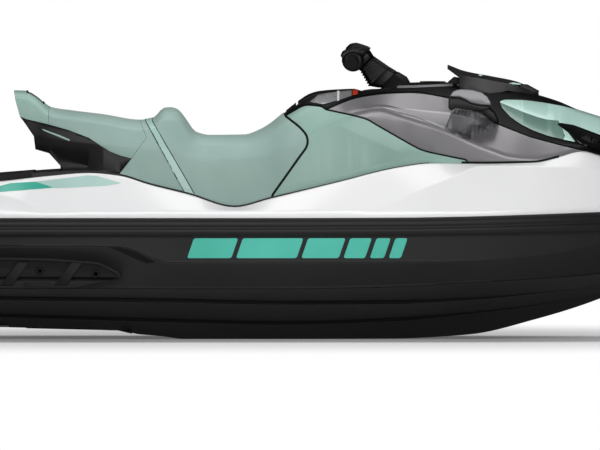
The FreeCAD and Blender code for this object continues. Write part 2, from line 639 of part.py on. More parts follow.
sidePanel = SEAT_NOSE[:-1] + PANEL_TOP[1:] + COWL_BASE[1:-1] + [(2290, 470)]
sideShape = shellForm.cut(deckLifted).common(region(sidePanel, gap))
formed("side_panels", sideShape.cut(box(1500, 2400, -40, 40, 400, 1100)))
cowl = COWL_TOP + HOOD_BASE[1:] + [(2330, 500)] + COWL_BASE[::-1][1:-1]
cowlShape = shellForm.cut(deckLifted).common(region(cowl, gap)).cut(box(1700, 2800, -60, 60, 400, 1100))
formed("upper_cowls", cowlShape)
console = [(1591, 1100), (1597, 856)] + PANEL_TOP[1:] + COWL_TOP[1:] + [(2240, 1100)]
lidBox = box(size("lidRear"), size("lidRear") + size("lidLength"), -size("lidHalf"), size("lidHalf"),
             880, 1100)
grow = size("lidGap")
lidRoom = box(size("lidRear") - grow, size("lidRear") + size("lidLength") + grow, -size("lidHalf") - grow,
              size("lidHalf") + grow, 870, 1100)
consoleShape = shellForm.common(region(console, gap)).cut(lidRoom)
consoleShape = max(consoleShape.Solids, key=lambda s: s.Volume)
lidShape = shellForm.common(lidBox)
lidShape = max(lidShape.Solids, key=lambda s: s.Volume)
hingeX, hingeZ = size("lidHingeStation"), size("lidHingeHeight")
pinBore = size("hingePin") + size("pinClear")


def across(x, z, radius, y0, y1):
    return Part.makeCylinder(radius, y1 - y0, Vector(x, y0, z), Vector(0, 1, 0))


lidLeaf = box(hingeX - 26, hingeX, -30, 30, hingeZ - 16, hingeZ - 3).fuse(
    across(hingeX, hingeZ, size("hingeBarrel"), -30, 30))
lidShape = lidShape.fuse(lidLeaf).cut(across(hingeX, hingeZ, pinBore, -40, 40))
for side in (1, -1):
    low, high = sorted((side * 31.0, side * 58.0))
    knuckle = box(hingeX, hingeX + 26, low, high, hingeZ - 18, hingeZ - 3).fuse(
        across(hingeX, hingeZ, size("hingeBarrel"), low, high))
    consoleShape = consoleShape.fuse(knuckle).cut(across(hingeX, hingeZ, pinBore, -30, 30))
    pinEnds = sorted((side * 4.0, side * 58.0))
    consoleShape = consoleShape.fuse(across(hingeX, hingeZ, size("hingePin"), *pinEnds))
hood = [(2246, 1100)] + HOOD_BASE[:-1] + [(2745, 560), (3180, 420), (3180, 1100)]
hoodShape = shellForm.cut(raised(deckForm, 5.0)).common(region(hood, size("lidGap") / 2))
hoodShape = max(hoodShape.Solids, key=lambda s: s.Volume)
frameForm = skin([(row[0], inset(bodyHalf(row), size("panelWall") + panelLift)) for row in BODY])
deepForm = skin([(row[0], inset(bodyHalf(row), size("panelWall") + size("lidGap"))) for row in BODY])
hoodRoom = region([(2240, 1100), (2226, 915)] + [(x - 10, z - 10) for x, z in HOOD_BASE[1:-1]]
                  + [(2730, 560), (3190, 420), (3190, 1100)])
movingRoom = envelope.cut(deepForm).common(hoodRoom.fuse(lidRoom))
frameShape = frameForm.common(frameRegion).cut(deckLifted).cut(binCut).cut(gloveCut).cut(movingRoom)
formed("centre_frame", max(frameShape.Solids, key=lambda s: s.Volume))
noseX, noseZ = size("hoodHingeStation"), size("hoodHingeHeight")
barrel = size("hingeBarrel") + 1
ears = []
for side in (1, -1):
    low, high = sorted((side * 40.0, side * 60.0))
    leaf = box(noseX - 20, noseX, low, high, noseZ - 6, noseZ + 9)
    leaf = leaf.fuse(across(noseX, noseZ, barrel, low, high))
    hoodShape = hoodShape.fuse(leaf).cut(across(noseX, noseZ, pinBore, low, high))
    for inner, outer_ in ((27.0, 38.5), (61.5, 73.0)):
        a, b = sorted((side * inner, side * outer_))
        ear = box(noseX - 9, noseX + 9, a, b, noseZ - 40, noseZ)
        ears.append(ear.fuse(across(noseX, noseZ, barrel, a, b)))
    ears.append(across(noseX, noseZ, size("hingePin"), *sorted((side * 30.0, side * 70.0))))
earShape = ears[0].multiFuse(ears[1:]).cut(deckLifted)
formed("hood_hinges", earShape)
formed("console", consoleShape)
formed("glovebox_lid", lidShape)
formed("hood", hoodShape)


def tub(x, length, half, floor, rim):
    wall = size("tubWall")
    clear = size("skinGap")
    outer = box(x + clear, x + length - clear, clear - half, half - clear, floor + clear, rim)
    inner = box(x + clear + wall, x + length - clear - wall, clear + wall - half, half - clear - wall,
                floor + clear + wall, rim + 10)
    return outer.cut(inner)


formed("front_bin", tub(
    size("binRear"), size("binLength"), size("binHalf"), size("binFloor"), size("binRim")))
formed("glovebox_tub", tub(
    size("gloveRear"), size("gloveLength"), size("gloveHalf"), size("gloveFloor"), size("gloveRim")))

# hood trim: mint accents, dark lamp-like inserts, wind deflector
ACCENT = [(2418, 914), (2440, 930), (2480, 934), (2570, 929), (2671, 909), (2801, 862), (2950, 815),
          (3050, 772), (3020, 742), (2900, 757), (2760, 806), (2640, 822), (2592, 810), (2676, 775),
          (2726, 742), (2700, 745),
          (2600, 775), (2520, 812), (2450, 860)]
INSERT = [(2640, 817), (2760, 801), (2900, 752), (3015, 737), (2960, 700), (2800, 738), (2738, 742),
          (2690, 768)]
trimForm = skin([(row[0], inset(bodyHalf(row), -6.0)) for row in BODY])
trimShell = trimForm.cut(skin([(row[0], inset(bodyHalf(row), -0.3)) for row in BODY]))
offCentre = box(2300, 3300, 60, 700, 400, 1100)
for node, outline in (("hood_accents", ACCENT), ("hood_inserts", INSERT)):
    piece = trimShell.common(region(outline, 1.0)).common(offCentre)
    piece = max(piece.Solids, key=lambda s: s.Volume)
    formed(node, Part.makeCompound([piece, mirrored(piece)]))

# station, half width at the foot, foot height, shoulder y z, crown height
DEFLECTOR = [(2218, 196, 985, 176, 1030, 1050), (2282, 186, 955, 150, 1008, 1026),
             (2384, 168, 940, 124, 990, 1006),
             (2480, 138, 925, 98, 970, 986), (2566, 92, 900, 62, 938, 946)]


def deflectorHalf(row, depth):
    x, foot, fz, sy, sz, top = row
    return inset([(0, fz), (foot, fz), (sy, sz), (sy * 0.5, top - 5), (0, top)], depth)


deflector = skin([(row[0], deflectorHalf(row, 0.0)) for row in DEFLECTOR])
hollow = skin([(row[0], [(y, z if k > 1 else z - 30) for k, (y, z) in enumerate(deflectorHalf(row, 8.0))])
               for row in DEFLECTOR])
deflector = deflector.cut(hollow).cut(raised(envelope, size("skinGap")))
deflector = deflector.cut(slab([(2200, 900), (2200, 1046), (2262, 1000), (2262, 900)], -300, 300))
deflector = max(deflector.Solids, key=lambda s: s.Volume)
formed("wind_deflector", deflector)

# mirrors on the hood's shoulders
# station, mirror height centre, half height, inner y, outer y
MIRROR = [(2222, 922, 26, 318, 440), (2262, 926, 32, 306, 452), (2310, 922, 32, 300, 446),
          (2356, 908, 25, 292, 420),
          (2386, 894, 13, 288, 372)]


def mirrorShape(shrink):
    rings = []
    for x, zc, hz, yi, yo in MIRROR:
        hz, yi, yo = hz - shrink, yi + shrink, yo - shrink
        rings.append([Vector(x, yi, zc - hz * 0.6), Vector(x, yi + 20, zc - hz), Vector(x, yo - 24, zc - hz),
                      Vector(x, yo, zc - hz * 0.3), Vector(x, yo, zc + hz * 0.4), Vector(x, yo - 24, zc + hz),
                      Vector(x, yi + 20, zc + hz), Vector(x, yi, zc + hz * 0.6)])
    return skinRings(rings, [row[0] for row in MIRROR])


glassDepth = 5.0
mirrorBody = mirrorShape(0.0).cut(mirrorShape(5.0).common(box(2200, 2222 + glassDepth, 0, 700, 800, 1100)))
stalk = skinRings(
    [[Vector(x, 225, zc - 24), Vector(x, 330, zc - 12), Vector(x, 330, zc + 4), Vector(x, 225, zc + 14)]
     for x, zc in ((2330, 900), (2380, 890), (2425, 868))], [2330, 2380, 2425])
mirrorBody = mirrorBody.fuse(stalk).cut(raised(envelope, size("skinGap")))
mirrorBody = max(mirrorBody.Solids, key=lambda s: s.Volume)
glass = mirrorShape(5.3).common(box(2222 + 1.0, 2222 + glassDepth - 0.3, 0, 700, 800, 1100))
formed("mirror_housings", Part.makeCompound([mirrorBody, mirrored(mirrorBody)]))
formed("mirror_glasses", Part.makeCompound([glass, mirrored(glass)]))

# ------------------------------------------------------------------- steering
steerPlace = Placement(
    Vector(size("steerStation"), 0, size("steerHeight")),
    Rotation(Vector(0, 1, 0), size("steerTilt") - 90),
)


def steered(shape):
    copy = shape.copy()
    copy.Placement = steerPlace.multiply(copy.Placement)
    return copy


def stack(levels):
    """A chunky block along the steering axis. levels: height, rear x, front x, half width."""
    wires = []
    for z, x0, x1, half in levels:
        cut = min(half, (x1 - x0) / 2) * 0.35
        near = half - cut
        corners = [(x0, -near), (x0 + cut, -half), (x1 - cut, -half), (x1, -near),
                   (x1, near), (x1 - cut, half), (x0 + cut, half), (x0, near), (x0, -near)]
        wires.append(Part.makePolygon([Vector(x, y, z) for x, y in corners]))
    return Part.makeLoft(wires, True, True)


base = steered(stack([(-110, -70, 22, 78), (-40, -68, 40, 64), (-3, -60, 30, 50)]))
columnBore = Part.makeCylinder(size("columnRadius") + size("pinClear"), 90, Vector(0, 0, -85))
base = base.cut(raised(envelope, size("skinGap"))).cut(steered(columnBore))
formed("steering_base", max(base.Solids, key=lambda s: s.Volume))
neck = steered(stack([(3, -60, 29, 48), (60, -84, 30, 46), (110, -86, 24, 50), (134, -70, 22, 52)]))
neck = neck.fuse(steered(Part.makeCylinder(size("columnRadius"), 60, Vector(0, 0, -32))))
formed("bar_neck", neck)


height, half, sweep = size("barHeight"), size("barHalf"), size("barSweep")
kneeY = 120.0
knee = Vector(0, kneeY, height)
tip = Vector(-sweep, half, height + 9)
outward = (tip - knee).normalize()


def rod(start, end, radius):
    direction = end - start
    return Part.makeCylinder(radius, direction.Length, start, direction)


barHalfShape = rod(Vector(0, 0, height), knee, size("barRadius")).fuse(
    Part.makeSphere(size("barRadius"), knee)).fuse(rod(knee, tip, size("barRadius")))
bar = barHalfShape.fuse(mirrored(barHalfShape))
formed("handlebar", steered(bar.removeSplitter()))

padBody = stack([(134.5, -74, 24, 92), (168, -66, 26, 86), (192, -38, 12, 56)])
padBody = padBody.cut(bar).cut(rod(Vector(0, -100, height), Vector(0, 100, height), size("barRadius") + 0.3))
formed("bar_pad", steered(max(padBody.Solids, key=lambda s: s.Volume)))

gripStart = tip - outward * (size("gripLength") + 6)
sleeve = rod(gripStart, tip + outward * 5, size("gripRadius"))
flange = rod(gripStart, gripStart + outward * 5, size("gripRadius") + 8)
endCap = rod(tip - outward * 2, tip + outward * 6, size("gripRadius") + 5)
grip = sleeve.fuse(flange).fuse(endCap).cut(rod(knee, tip + outward * 0.3, size("barRadius") + 0.3))
formed("grips", steered(Part.makeCompound([grip, mirrored(grip)])))

clampEnd = gripStart - outward * 2
clampStart = clampEnd - outward * 52
clamp = rod(clampStart, clampEnd, 29).fuse(
    rod(clampStart + outward * 8 + Vector(20, 0, 0), clampStart + outward * 40 + Vector(46, 0, -4), 13))
clamp = clamp.cut(rod(knee, tip, size("barRadius") + 0.3))
formed("lever_housings", steered(Part.makeCompound([clamp, mirrored(clamp)])))
leverRoot = clampStart + outward * 40 + Vector(47.5, 0, -4)
leverTip = leverRoot + outward * 128 + Vector(14, 0, 0)
leverTurn = leverRoot + outward * 30 + Vector(16, 0, 0)
lever = rod(leverRoot, leverTurn, 7).fuse(Part.makeSphere(7, leverTurn))
lever = lever.fuse(rod(leverTurn, leverTip, 7)).fuse(Part.makeSphere(9, leverTip))
lever = lever.cut(clamp)
formed("levers", steered(Part.makeCompound([lever, mirrored(lever)])))

# gauge on the console, ahead of the bars
gaugeBlock = box(2112, 2210, -92, 92, 960, 996)
gaugeTop = skin([(x, [(0, 900), (96, 900), (96, z - 3), (70, z + 3), (0, z + 5)])
                 for x, z in ((2060, 984), (2150, 991), (2230, 996))])
gauge = gaugeBlock.common(gaugeTop).cut(raised(envelope, size("skinGap")))
formed("gauge", max(gauge.Solids, key=lambda s: s.Volume))

# ------------------------------------------------------------------- jet pump
outer = size("pumpBore") + size("pumpWall")
venturi = size("venturiBore")
venturiWall = venturi + size("nozzleWall")
housing = turned([
    (size("pumpFront"), size("pumpBore")), (size("pumpFront"), outer + 12),
    (size("pumpFront") - 14, outer + 12), (size("pumpFront") - 14, outer),
    (size("venturiStation"), outer), (size("venturiEnd"), venturiWall),
    (size("pumpRear"), venturiWall), (size("pumpRear"), venturi), (size("venturiEnd"), venturi),
    (size("venturiStation"), size("pumpBore")),
], axisZ)
hubEnd = size("statorFront") - size("statorLength")
statorHub = turned([(hubEnd - 60, 0), (hubEnd - 50, 14), (hubEnd, size("hubRadius")),
                    (size("statorFront"), size("hubRadius")), (size("statorFront"), 0)], axisZ)
vanes = []
for k in range(7):
    vane = box(hubEnd + 4, size("statorFront") - 4, -2.5, 2.5, size("hubRadius") - 2, size("pumpBore") + 2)
    vane.rotate(Vector(0, 0, 0), Vector(1, 0, 0), 360.0 * k / 7)
    vane.translate(Vector(0, 0, axisZ))
    vanes.append(vane)
cup = size("nozzleCup")
cupWall = cup + size("nozzleWall")
lugs = []
for side in (1, -1):
    low, high = sorted((side * (cupWall + 5), side * (cupWall + 15)))
    lug = box(size("nozzlePivot") - 14, size("venturiStation") - 12, -14, 14, low, high)
    postEnds = sorted((side * 70, side * (cupWall + 15)))
    post = box(size("venturiStation") - 40, size("venturiStation") - 12, -14, 14, *postEnds)
    pinFoot = Vector(size("nozzlePivot"), 0, side * (cup - 3))
    pin = Part.makeCylinder(size("pinRadius"), cupWall + 9 - cup, pinFoot, Vector(0, 0, side))
    lugs.append(lug.fuse(post).fuse(pin))
for lug in lugs:
    lug.translate(Vector(0, 0, axisZ))
pump = housing.fuse(statorHub).multiFuse(vanes + lugs)
formed("pump_housing", max(pump.Solids, key=lambda s: s.Volume))

rotorFront = size("rotorFront")
rotorRear = rotorFront - size("rotorLength")
hub = turned([(rotorRear, 0), (rotorRear, size("hubRadius")), (rotorFront - 10, size("hubRadius") - 6),
              (rotorFront + 22, size("shaftRadius") + 1), (rotorFront + 22, 0)], axisZ)
blades = []
for k in range(4):
    blade = box(-34, 34, -2.5, 2.5, size("hubRadius") - 9, size("bladeTip"))
    blade.rotate(Vector(0, 0, 0), Vector(0, 0, 1), 38)
    blade.rotate(Vector(0, 0, 0), Vector(1, 0, 0), 90.0 * k)
    blade.translate(Vector((rotorFront + rotorRear) / 2, 0, axisZ))
    blades.append(blade)
tips = Part.makeCylinder(size("bladeTip"), 200, Vector(400, 0, axisZ), Vector(1, 0, 0))
impeller = hub.fuse(Part.makeCompound(blades).common(tips))
formed("impeller", max(impeller.Solids, key=lambda s: s.Volume))

shaft = primitive("Cylinder", "ShaftRod", at=("Sizes.rotorFront + 22.2", "0", "Sizes.pumpAxisHeight"),
                  rotation=Rotation(Vector(0, 1, 0), 90), Radius="Sizes.shaftRadius",
                  Height="Sizes.engineRear - Sizes.rotorFront - 24")
collar = primitive("Cylinder", "ShaftCollar", at=("Sizes.rotorFront + 30", "0", "Sizes.pumpAxisHeight"),
                   rotation=Rotation(Vector(0, 1, 0), 90), Radius="Sizes.shaftRadius + 4", Height="12")
finishPart(joined("DriveShaft", shaft, collar), "drive_shaft")

engineAt = ("Sizes.engineRear", "-Sizes.engineWidth / 2", "Sizes.bayFloor + Sizes.skinGap")
engine = primitive("Box", "EngineBlock", at=engineAt, Length="Sizes.engineLength", Width="Sizes.engineWidth",
                   Height="Sizes.engineHeight")
finishPart(group("Engine", engine), "engine")

# steering nozzle, turned on a vertical pin
pivot = size("nozzlePivot")
nozzle = turned([
    (pivot + 8, cup), (pivot + 8, cupWall), (pivot - 40, cupWall - 2),
    (size("nozzleRear"), size("nozzleBore") + size("nozzleWall")), (size("nozzleRear"), size("nozzleBore")),
    (pivot - 40, cup - 2),
], axisZ)
for side in (1, -1):
    up = Vector(0, 0, side)
    boss = Part.makeCylinder(13, 8 + size("nozzleWall"), Vector(pivot, 0, axisZ + side * (cup - 5)), up)
    hole = Part.makeCylinder(
        size("pinRadius") + size("pinClear"), 40, Vector(pivot, 0, axisZ + side * (cup - 12)), up)
    nozzle = nozzle.fuse(boss).cut(hole)
nozzle = max(nozzle.Solids, key=lambda s: s.Volume)
formed("steering_nozzle", nozzle)

# reverse bucket, parked above the nozzle
pivotX, pivotZ = size("nozzlePivot"), axisZ
outerR = size("bucketRadius") + size("bucketWall")


def sector(r0, r1, start, sweep, y0, y1):
    """Part of a ring about the bucket's pivot. Angles rise from the stern direction."""
    a0, a1 = math.radians(start), math.radians(start + sweep)
    mid = (a0 + a1) / 2

    def spot(r, a):
        return Vector(pivotX - r * math.cos(a), y0, pivotZ + r * math.sin(a))

    wire = Part.Wire([
        Part.Arc(spot(r1, a0), spot(r1, mid), spot(r1, a1)).toShape(),
        Part.LineSegment(spot(r1, a1), spot(r0, a1)).toShape(),
        Part.Arc(spot(r0, a1), spot(r0, mid), spot(r0, a0)).toShape(),
        Part.LineSegment(spot(r0, a0), spot(r1, a0)).toShape(),
    ])
    return Part.Face(wire).extrude(Vector(0, y1 - y0, 0))


start, sweep_ = size("bucketStart"), size("bucketSweep")
halfB = size("bucketHalf")
bucket = sector(size("bucketRadius"), outerR, start, sweep_, -halfB, halfB)
for y0 in (-halfB, halfB - 8):
    bucket = bucket.fuse(sector(20, outerR, start + 8, sweep_ - 16, y0, y0 + 8))
    bucket = bucket.fuse(Part.makeCylinder(26, 8, Vector(pivotX, y0, pivotZ), Vector(0, 1, 0)))
bucket = bucket.cut(across(pivotX, pivotZ, size("bucketPin") + size("pinClear"), -150, 150))
formed("reverse_bucket", max(bucket.removeSplitter().Solids, key=lambda s: s.Volume))

# bucket hinge brackets from the tunnel walls
bracket = box(pivotX - 18, pivotX + 60, halfB + 5, size("tunnelHalf"), pivotZ - 18, pivotZ + 18)
pin = Part.makeCylinder(size("bucketPin"), 13, Vector(pivotX, halfB - 7, pivotZ), Vector(0, 1, 0))
bracketShape = bracket.fuse(pin)
formed("bucket_brackets", Part.makeCompound([bracketShape, mirrored(bracketShape)]))


# ride plate: sketched outline, padded, with its corners rounded
def platePart():
    body = doc.addObject("PartDesign::Body", "RidePlate")
    edge = "Sizes.tunnelHalf"
    outline = [("Sizes.transomStation", "-" + edge), ("Sizes.tunnelLength", "-" + edge),
               ("Sizes.tunnelLength", edge), ("Sizes.transomStation", edge)]
    sketch = sketchOn(body, "XY_Plane", outline)
    doc.recompute()
    pad = body.newObject("PartDesign::Pad", "RidePlatePad")
    pad.Profile = sketch
    bind(pad, Length="Sizes.plateThick")
    doc.recompute()
    body.Placement = Placement(Vector(0, 0, size("plateBottom")), Rotation())
    return body


finishPart(platePart(), "ride_plate")

# intake grate: bars along the flow in a frame
def grateSlab(x0, x1, y0, y1, thick):
    """A strip of the grate, set just inside the sloping bottom of the hull."""
    def low(x):
        return 47.0 - (x - 612) * 0.0485 + (1.0 if x < 960 else 2.5)
    return slab([(x0, low(x0)), (x1, low(x1)), (x1, low(x1) + thick), (x0, low(x0) + thick)], y0, y1)


halfD, bar_ = size("ductHalf"), size("grateBar")
grate = grateSlab(612, 1002, -halfD, -halfD + bar_, 15).fuse(grateSlab(612, 1002, halfD - bar_, halfD, 15))
grate = grate.fuse(grateSlab(612, 624, -halfD, halfD, 15)).fuse(grateSlab(990, 1002, -halfD, halfD, 15))
for k in range(5):
    y = -halfD + 2 * halfD * (k + 1) / 6
    grate = grate.fuse(grateSlab(612, 1002, y - bar_ / 2, y + bar_ / 2, 13))
formed("intake_grate", grate.removeSplitter())


# ------------------------------------------------------------------- fittings
def eye(centre, normal, bore, stem):
    """A flat ring with a hole and a tang into the moulding. stem: from the hole's centre to the root."""
    thick = size("eyeThick")
    start = centre - normal * (thick / 2)
    ring = Part.makeCylinder(bore + size("eyeRing"), thick, start, normal)
    along = Vector(stem).normalize()
    across = normal.cross(along) * size("eyeRing")
    corners = [start - across, start + across, start + across + stem, start - across + stem]
    tang = Part.Face(Part.makePolygon(corners + [corners[0]])).extrude(normal * thick)
    return ring.fuse(tang).cut(Part.makeCylinder(bore, thick * 3, centre - normal * (thick * 1.5), normal))


bowX = 3262.0
bowEye = eye(Vector(bowX, 0, 400), Vector(0, 1, 0), size("eyeBore"), Vector(-60, 0, 26))
bowEye = bowEye.cut(hullForm)
formed("bow_eye", max(bowEye.Solids, key=lambda s: s.Volume))
sternEye = eye(Vector(42, 380, 400), Vector(0, 0, 1), size("eyeBore"), Vector(40, 0, 0))
sternEye = sternEye.cut(hullShape)
sternEye = max(sternEye.Solids, key=lambda s: s.Volume)
formed("stern_eyes", Part.makeCompound([sternEye, mirrored(sternEye)]))
towEye = eye(Vector(38, 0, 372), Vector(0, 0, 1), size("eyeBore"), Vector(46, 0, 0))
towEye = towEye.cut(hullShape)
formed("tow_eye", max(towEye.Solids, key=lambda s: s.Volume))

# boarding step: a folding U on two hinges low on the transom, parked upright
stepZ = size("ladderPivot")
armTop = stepZ + size("ladderArm")
halfL, tubeR = size("ladderHalf"), size("ladderTube")
arms = [rod(Vector(38, s * halfL, stepZ), Vector(38, s * halfL, armTop - 12), tubeR) for s in (1, -1)]
tread = box(20, 52, -halfL - tubeR, halfL + tubeR, armTop - 26, armTop)
step = tread.fuse(arms[0]).fuse(arms[1])
for s in (1, -1):
    step = step.fuse(across(38, stepZ, 15, s * halfL - 11, s * halfL + 11))
step = step.cut(across(38, stepZ, size("hingePin") + size("pinClear"), -300, 300))
formed("boarding_step", step)
hinge = box(58, 70, halfL - 26, halfL + 26, stepZ - 28, stepZ + 28)
for y0 in (halfL - 22, halfL + 14):
    cheek = box(30, 60, y0, y0 + 8, stepZ - 16, stepZ + 16)
    hinge = hinge.fuse(cheek)
hinge = hinge.fuse(across(38, stepZ, size("hingePin"), halfL - 20, halfL + 20))
formed("step_hinges", Part.makeCompound([hinge, mirrored(hinge)]))

# ------------------------------------------------------------ check and write
doc.recompute()
for item in doc.Objects:
    if "Invalid" in item.State or "Error" in item.State:
        raise RuntimeError("%s failed: %s" % (item.Label, item.State))
for feature in nodes:
    shape = feature.Shape
    if shape.isNull() or not shape.isValid() or not shape.Solids:
        raise RuntimeError("%s has no valid shape" % feature.Label)
os.makedirs("parts", exist_ok=True)
for feature in nodes:
    feature.Shape.exportStep("parts/%s.step" % feature.Label)
    bounds = feature.Shape.BoundBox
    print("%-18s solids %d volume %.0f cm3  x %.0f..%.0f y %.0f..%.0f z %.0f..%.0f" % (
        feature.Label, len(feature.Shape.Solids), feature.Shape.Volume / 1000, bounds.XMin, bounds.XMax,
        bounds.YMin, bounds.YMax, bounds.ZMin, bounds.ZMax))
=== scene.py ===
import math

import bmesh
import bpy
from mathutils import Matrix, Vector


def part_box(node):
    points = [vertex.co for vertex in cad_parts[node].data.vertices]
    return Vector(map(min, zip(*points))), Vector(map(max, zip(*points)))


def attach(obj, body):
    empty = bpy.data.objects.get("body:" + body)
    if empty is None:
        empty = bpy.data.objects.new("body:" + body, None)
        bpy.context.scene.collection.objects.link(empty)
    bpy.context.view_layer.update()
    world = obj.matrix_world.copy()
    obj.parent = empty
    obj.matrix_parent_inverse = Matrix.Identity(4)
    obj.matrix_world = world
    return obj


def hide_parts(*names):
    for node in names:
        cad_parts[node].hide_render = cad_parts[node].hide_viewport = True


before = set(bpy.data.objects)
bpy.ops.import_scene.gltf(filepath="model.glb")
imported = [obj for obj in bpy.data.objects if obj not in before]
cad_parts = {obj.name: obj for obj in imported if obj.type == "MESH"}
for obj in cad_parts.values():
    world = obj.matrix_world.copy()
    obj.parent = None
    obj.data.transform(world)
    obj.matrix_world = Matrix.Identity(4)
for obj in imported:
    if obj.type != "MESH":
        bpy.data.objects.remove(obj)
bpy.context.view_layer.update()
print("frame loaded")

# measures are in mm: x forward from the stern, y to port, z up from the keel
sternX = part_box("deck")[0].x
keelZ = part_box("hull")[0].z


def place(x, y, z):
    return Vector((sternX + x / 1000, y / 1000, keelZ + z / 1000))


# lines of the form, as in the part's source
gunwale = [
    (0, 497), (70, 538), (200, 568), (500, 592), (900, 603), (1400, 606), (1900, 600),
    (2300, 567), (2600, 508), (2850, 427), (3050, 330), (3200, 222), (3270, 140), (3298, 60),
]
railLine = [(0, 402, 471), (1400, 402, 471), (2000, 404, 472), (2800, 419, 492), (3298, 442, 514)]
# station, keel, inner strake y z, outer strake y z, chine y z, knuckle y z
hullLines = [
    (70, 0, 245, 98, 400, 160, 490, 201, 522, 363),
    (400, 0, 224, 89, 392, 157, 503, 200, 564, 363),
    (960, 0, 180, 72, 370, 149, 510, 200, 584, 361),
    (1160, 0, 168, 66, 362, 146, 510, 199, 572, 299),
    (1600, 0, 140, 56, 343, 137, 508, 199, 574, 298),
    (2000, 1, 150, 69, 326, 139, 490, 206, 566, 301),
    (2300, 17, 160, 97, 292, 154, 452, 221, 530, 309),
    (2560, 77, 120, 131, 232, 178, 392, 236, 462, 328),
    (2800, 154, 72, 179, 146, 207, 300, 255, 392, 372),
    (3050, 274, 40, 287, 82, 303, 178, 330, 288, 423),
    (3200, 377, 20, 384, 42, 392, 92, 409, 180, 450),
    (3300, 466, 7, 468, 14, 470, 32, 473, 48, 476),
]
# station, crease y z, top edge y z, middle height
deckLines = [
    (0, 487, 518, 452, 560, 580), (200, 557, 545, 500, 582, 598),
    (505, 578, 557, 514, 608, 619), (703, 592, 503, 516, 630, 634),
    (849, 600, 499, 520, 641, 641), (964, 601, 498, 524, 631, 631),
    (1079, 603, 498, 530, 597, 597), (1232, 604, 498, 540, 559, 559),
    (1404, 604, 498, 548, 511, 511), (1538, 604, 498, 542, 543, 543),
    (1653, 603, 499, 535, 571, 571), (1844, 600, 501, 518, 618, 618),
    (1935, 592, 511, 504, 642, 642), (2035, 577, 545, 490, 663, 663),
    (2150, 548, 592, 466, 677, 677), (2238, 512, 628, 448, 676, 676),
    (2341, 468, 668, 436, 675, 675), (2544, 448, 666, 414, 682, 682),
    (2720, 408, 655, 352, 725, 725), (2801, 384, 645, 326, 705, 705),
    (3000, 292, 612, 232, 648, 648), (3145, 204, 582, 148, 607, 607),
    (3250, 112, 556, 80, 572, 572), (3298, 50, 540, 36, 548, 548),
]
# station, foot half width, waist y z, shoulder y z, crown y z, middle height
bodyLines = [
    (550, 140, 150, 800, 142, 915, 118, 948, 953), (612, 150, 160, 790, 152, 912, 120, 946, 951),
    (645, 156, 166, 785, 158, 895, 122, 928, 933), (700, 165, 178, 775, 172, 856, 126, 884, 889),
    (780, 175, 190, 762, 182, 845, 130, 871, 876), (900, 190, 200, 750, 186, 828, 130, 857, 861),
    (1041, 203, 204, 738, 184, 806, 126, 836, 840), (1090, 206, 203, 732, 180, 812, 120, 843, 847),
    (1134, 208, 203, 730, 170, 846, 112, 881, 886), (1160, 209, 202, 725, 166, 849, 106, 883, 888),
    (1186, 210, 201, 718, 164, 840, 106, 875, 880), (1214, 211, 200, 706, 164, 808, 108, 842, 847),
    (1254, 212, 199, 692, 163, 760, 110, 790, 795), (1308, 214, 198, 684, 160, 748, 110, 777, 782),
    (1442, 219, 201, 690, 156, 748, 104, 778, 784), (1492, 222, 206, 696, 158, 762, 104, 794, 800),
    (1530, 225, 212, 704, 163, 784, 106, 815, 821), (1580, 231, 226, 722, 174, 820, 112, 854, 860),
    (1620, 235, 234, 745, 182, 850, 114, 884, 893), (1653, 238, 240, 762, 185, 868, 112, 909, 918),
    (1684, 240, 245, 779, 185, 882, 111, 930, 938), (1726, 243, 251, 802, 184, 894, 110, 943, 951),
    (1800, 250, 264, 842, 187, 906, 112, 948, 958),
    (1860, 257, 277, 868, 192, 925, 116, 951, 960), (1895, 263, 283, 876, 195, 934, 120, 946, 950),
    (1955, 276, 294, 886, 200, 941, 132, 952, 956), (2025, 296, 314, 868, 207, 947, 150, 966, 968),
    (2077, 312, 331, 850, 212, 947, 156, 977, 983), (2150, 334, 355, 826, 218, 942, 156, 978, 985),
    (2231, 360, 386, 794, 226, 923, 152, 976, 984), (2300, 384, 410, 761, 262, 888, 146, 972, 981),
    (2391, 408, 428, 722, 316, 836, 136, 961, 971), (2445, 416, 430, 702, 340, 810, 132, 951, 962),
    (2531, 414, 424, 692, 364, 780, 127, 934, 945), (2640, 384, 394, 706, 362, 750, 124, 902, 913),
    (2720, 350, 359, 729, 346, 744, 122, 868, 879), (2801, 322, 331, 712, 322, 730, 118, 842, 853),
    (2900, 276, 284, 684, 278, 706, 110, 812, 823), (3000, 226, 233, 656, 228, 684, 98, 782, 793),
    (3090, 172, 178, 630, 175, 662, 82, 742, 752), (3145, 132, 137, 612, 135, 640, 66, 696, 704),
    (3175, 104, 108, 600, 107, 616, 52, 640, 646),
]
# roundness of the body's lines along the craft: station, waist, shoulder, crown
bodyRound = [(550, 40, 26, 30), (780, 60, 45, 55), (1041, 60, 50, 60), (1160, 60, 40, 60), (1530, 60, 55, 60),
             (1653, 50, 40, 40), (1800, 30, 14, 18), (2100, 24, 9, 14), (2531, 20, 9, 30), (3175, 10, 10, 30)]
# shut lines in the side view
seatJoint = [(1041, 1100), (1041, 838), (1067, 773), (1010, 693), (962, 632), (962, 560)]
cushionBase = [(690, 823), (769, 801), (847, 771), (891, 742), (930, 718), (969, 703), (1010, 693)]
seatNose = [(1548, 470), (1548, 552), (1655, 703), (1683, 740), (1683, 778), (1655, 812), (1597, 856), (1588, 1100)]
panelTop = [(1597, 856), (1632, 877), (1661, 893), (1684, 898), (1736, 892), (1752, 880)]
cowlBase = [(1752, 880), (1866, 856), (1912, 843), (1940, 825), (2092, 738), (2127, 722), (2286, 690), (2330, 600)]
cowlTop = [(1752, 880), (1850, 922), (1955, 941), (2107, 947), (2234, 922)]
hoodBase = [(2234, 922), (2330, 868), (2391, 832), (2531, 777), (2640, 748), (2726, 727), (2740, 600)]
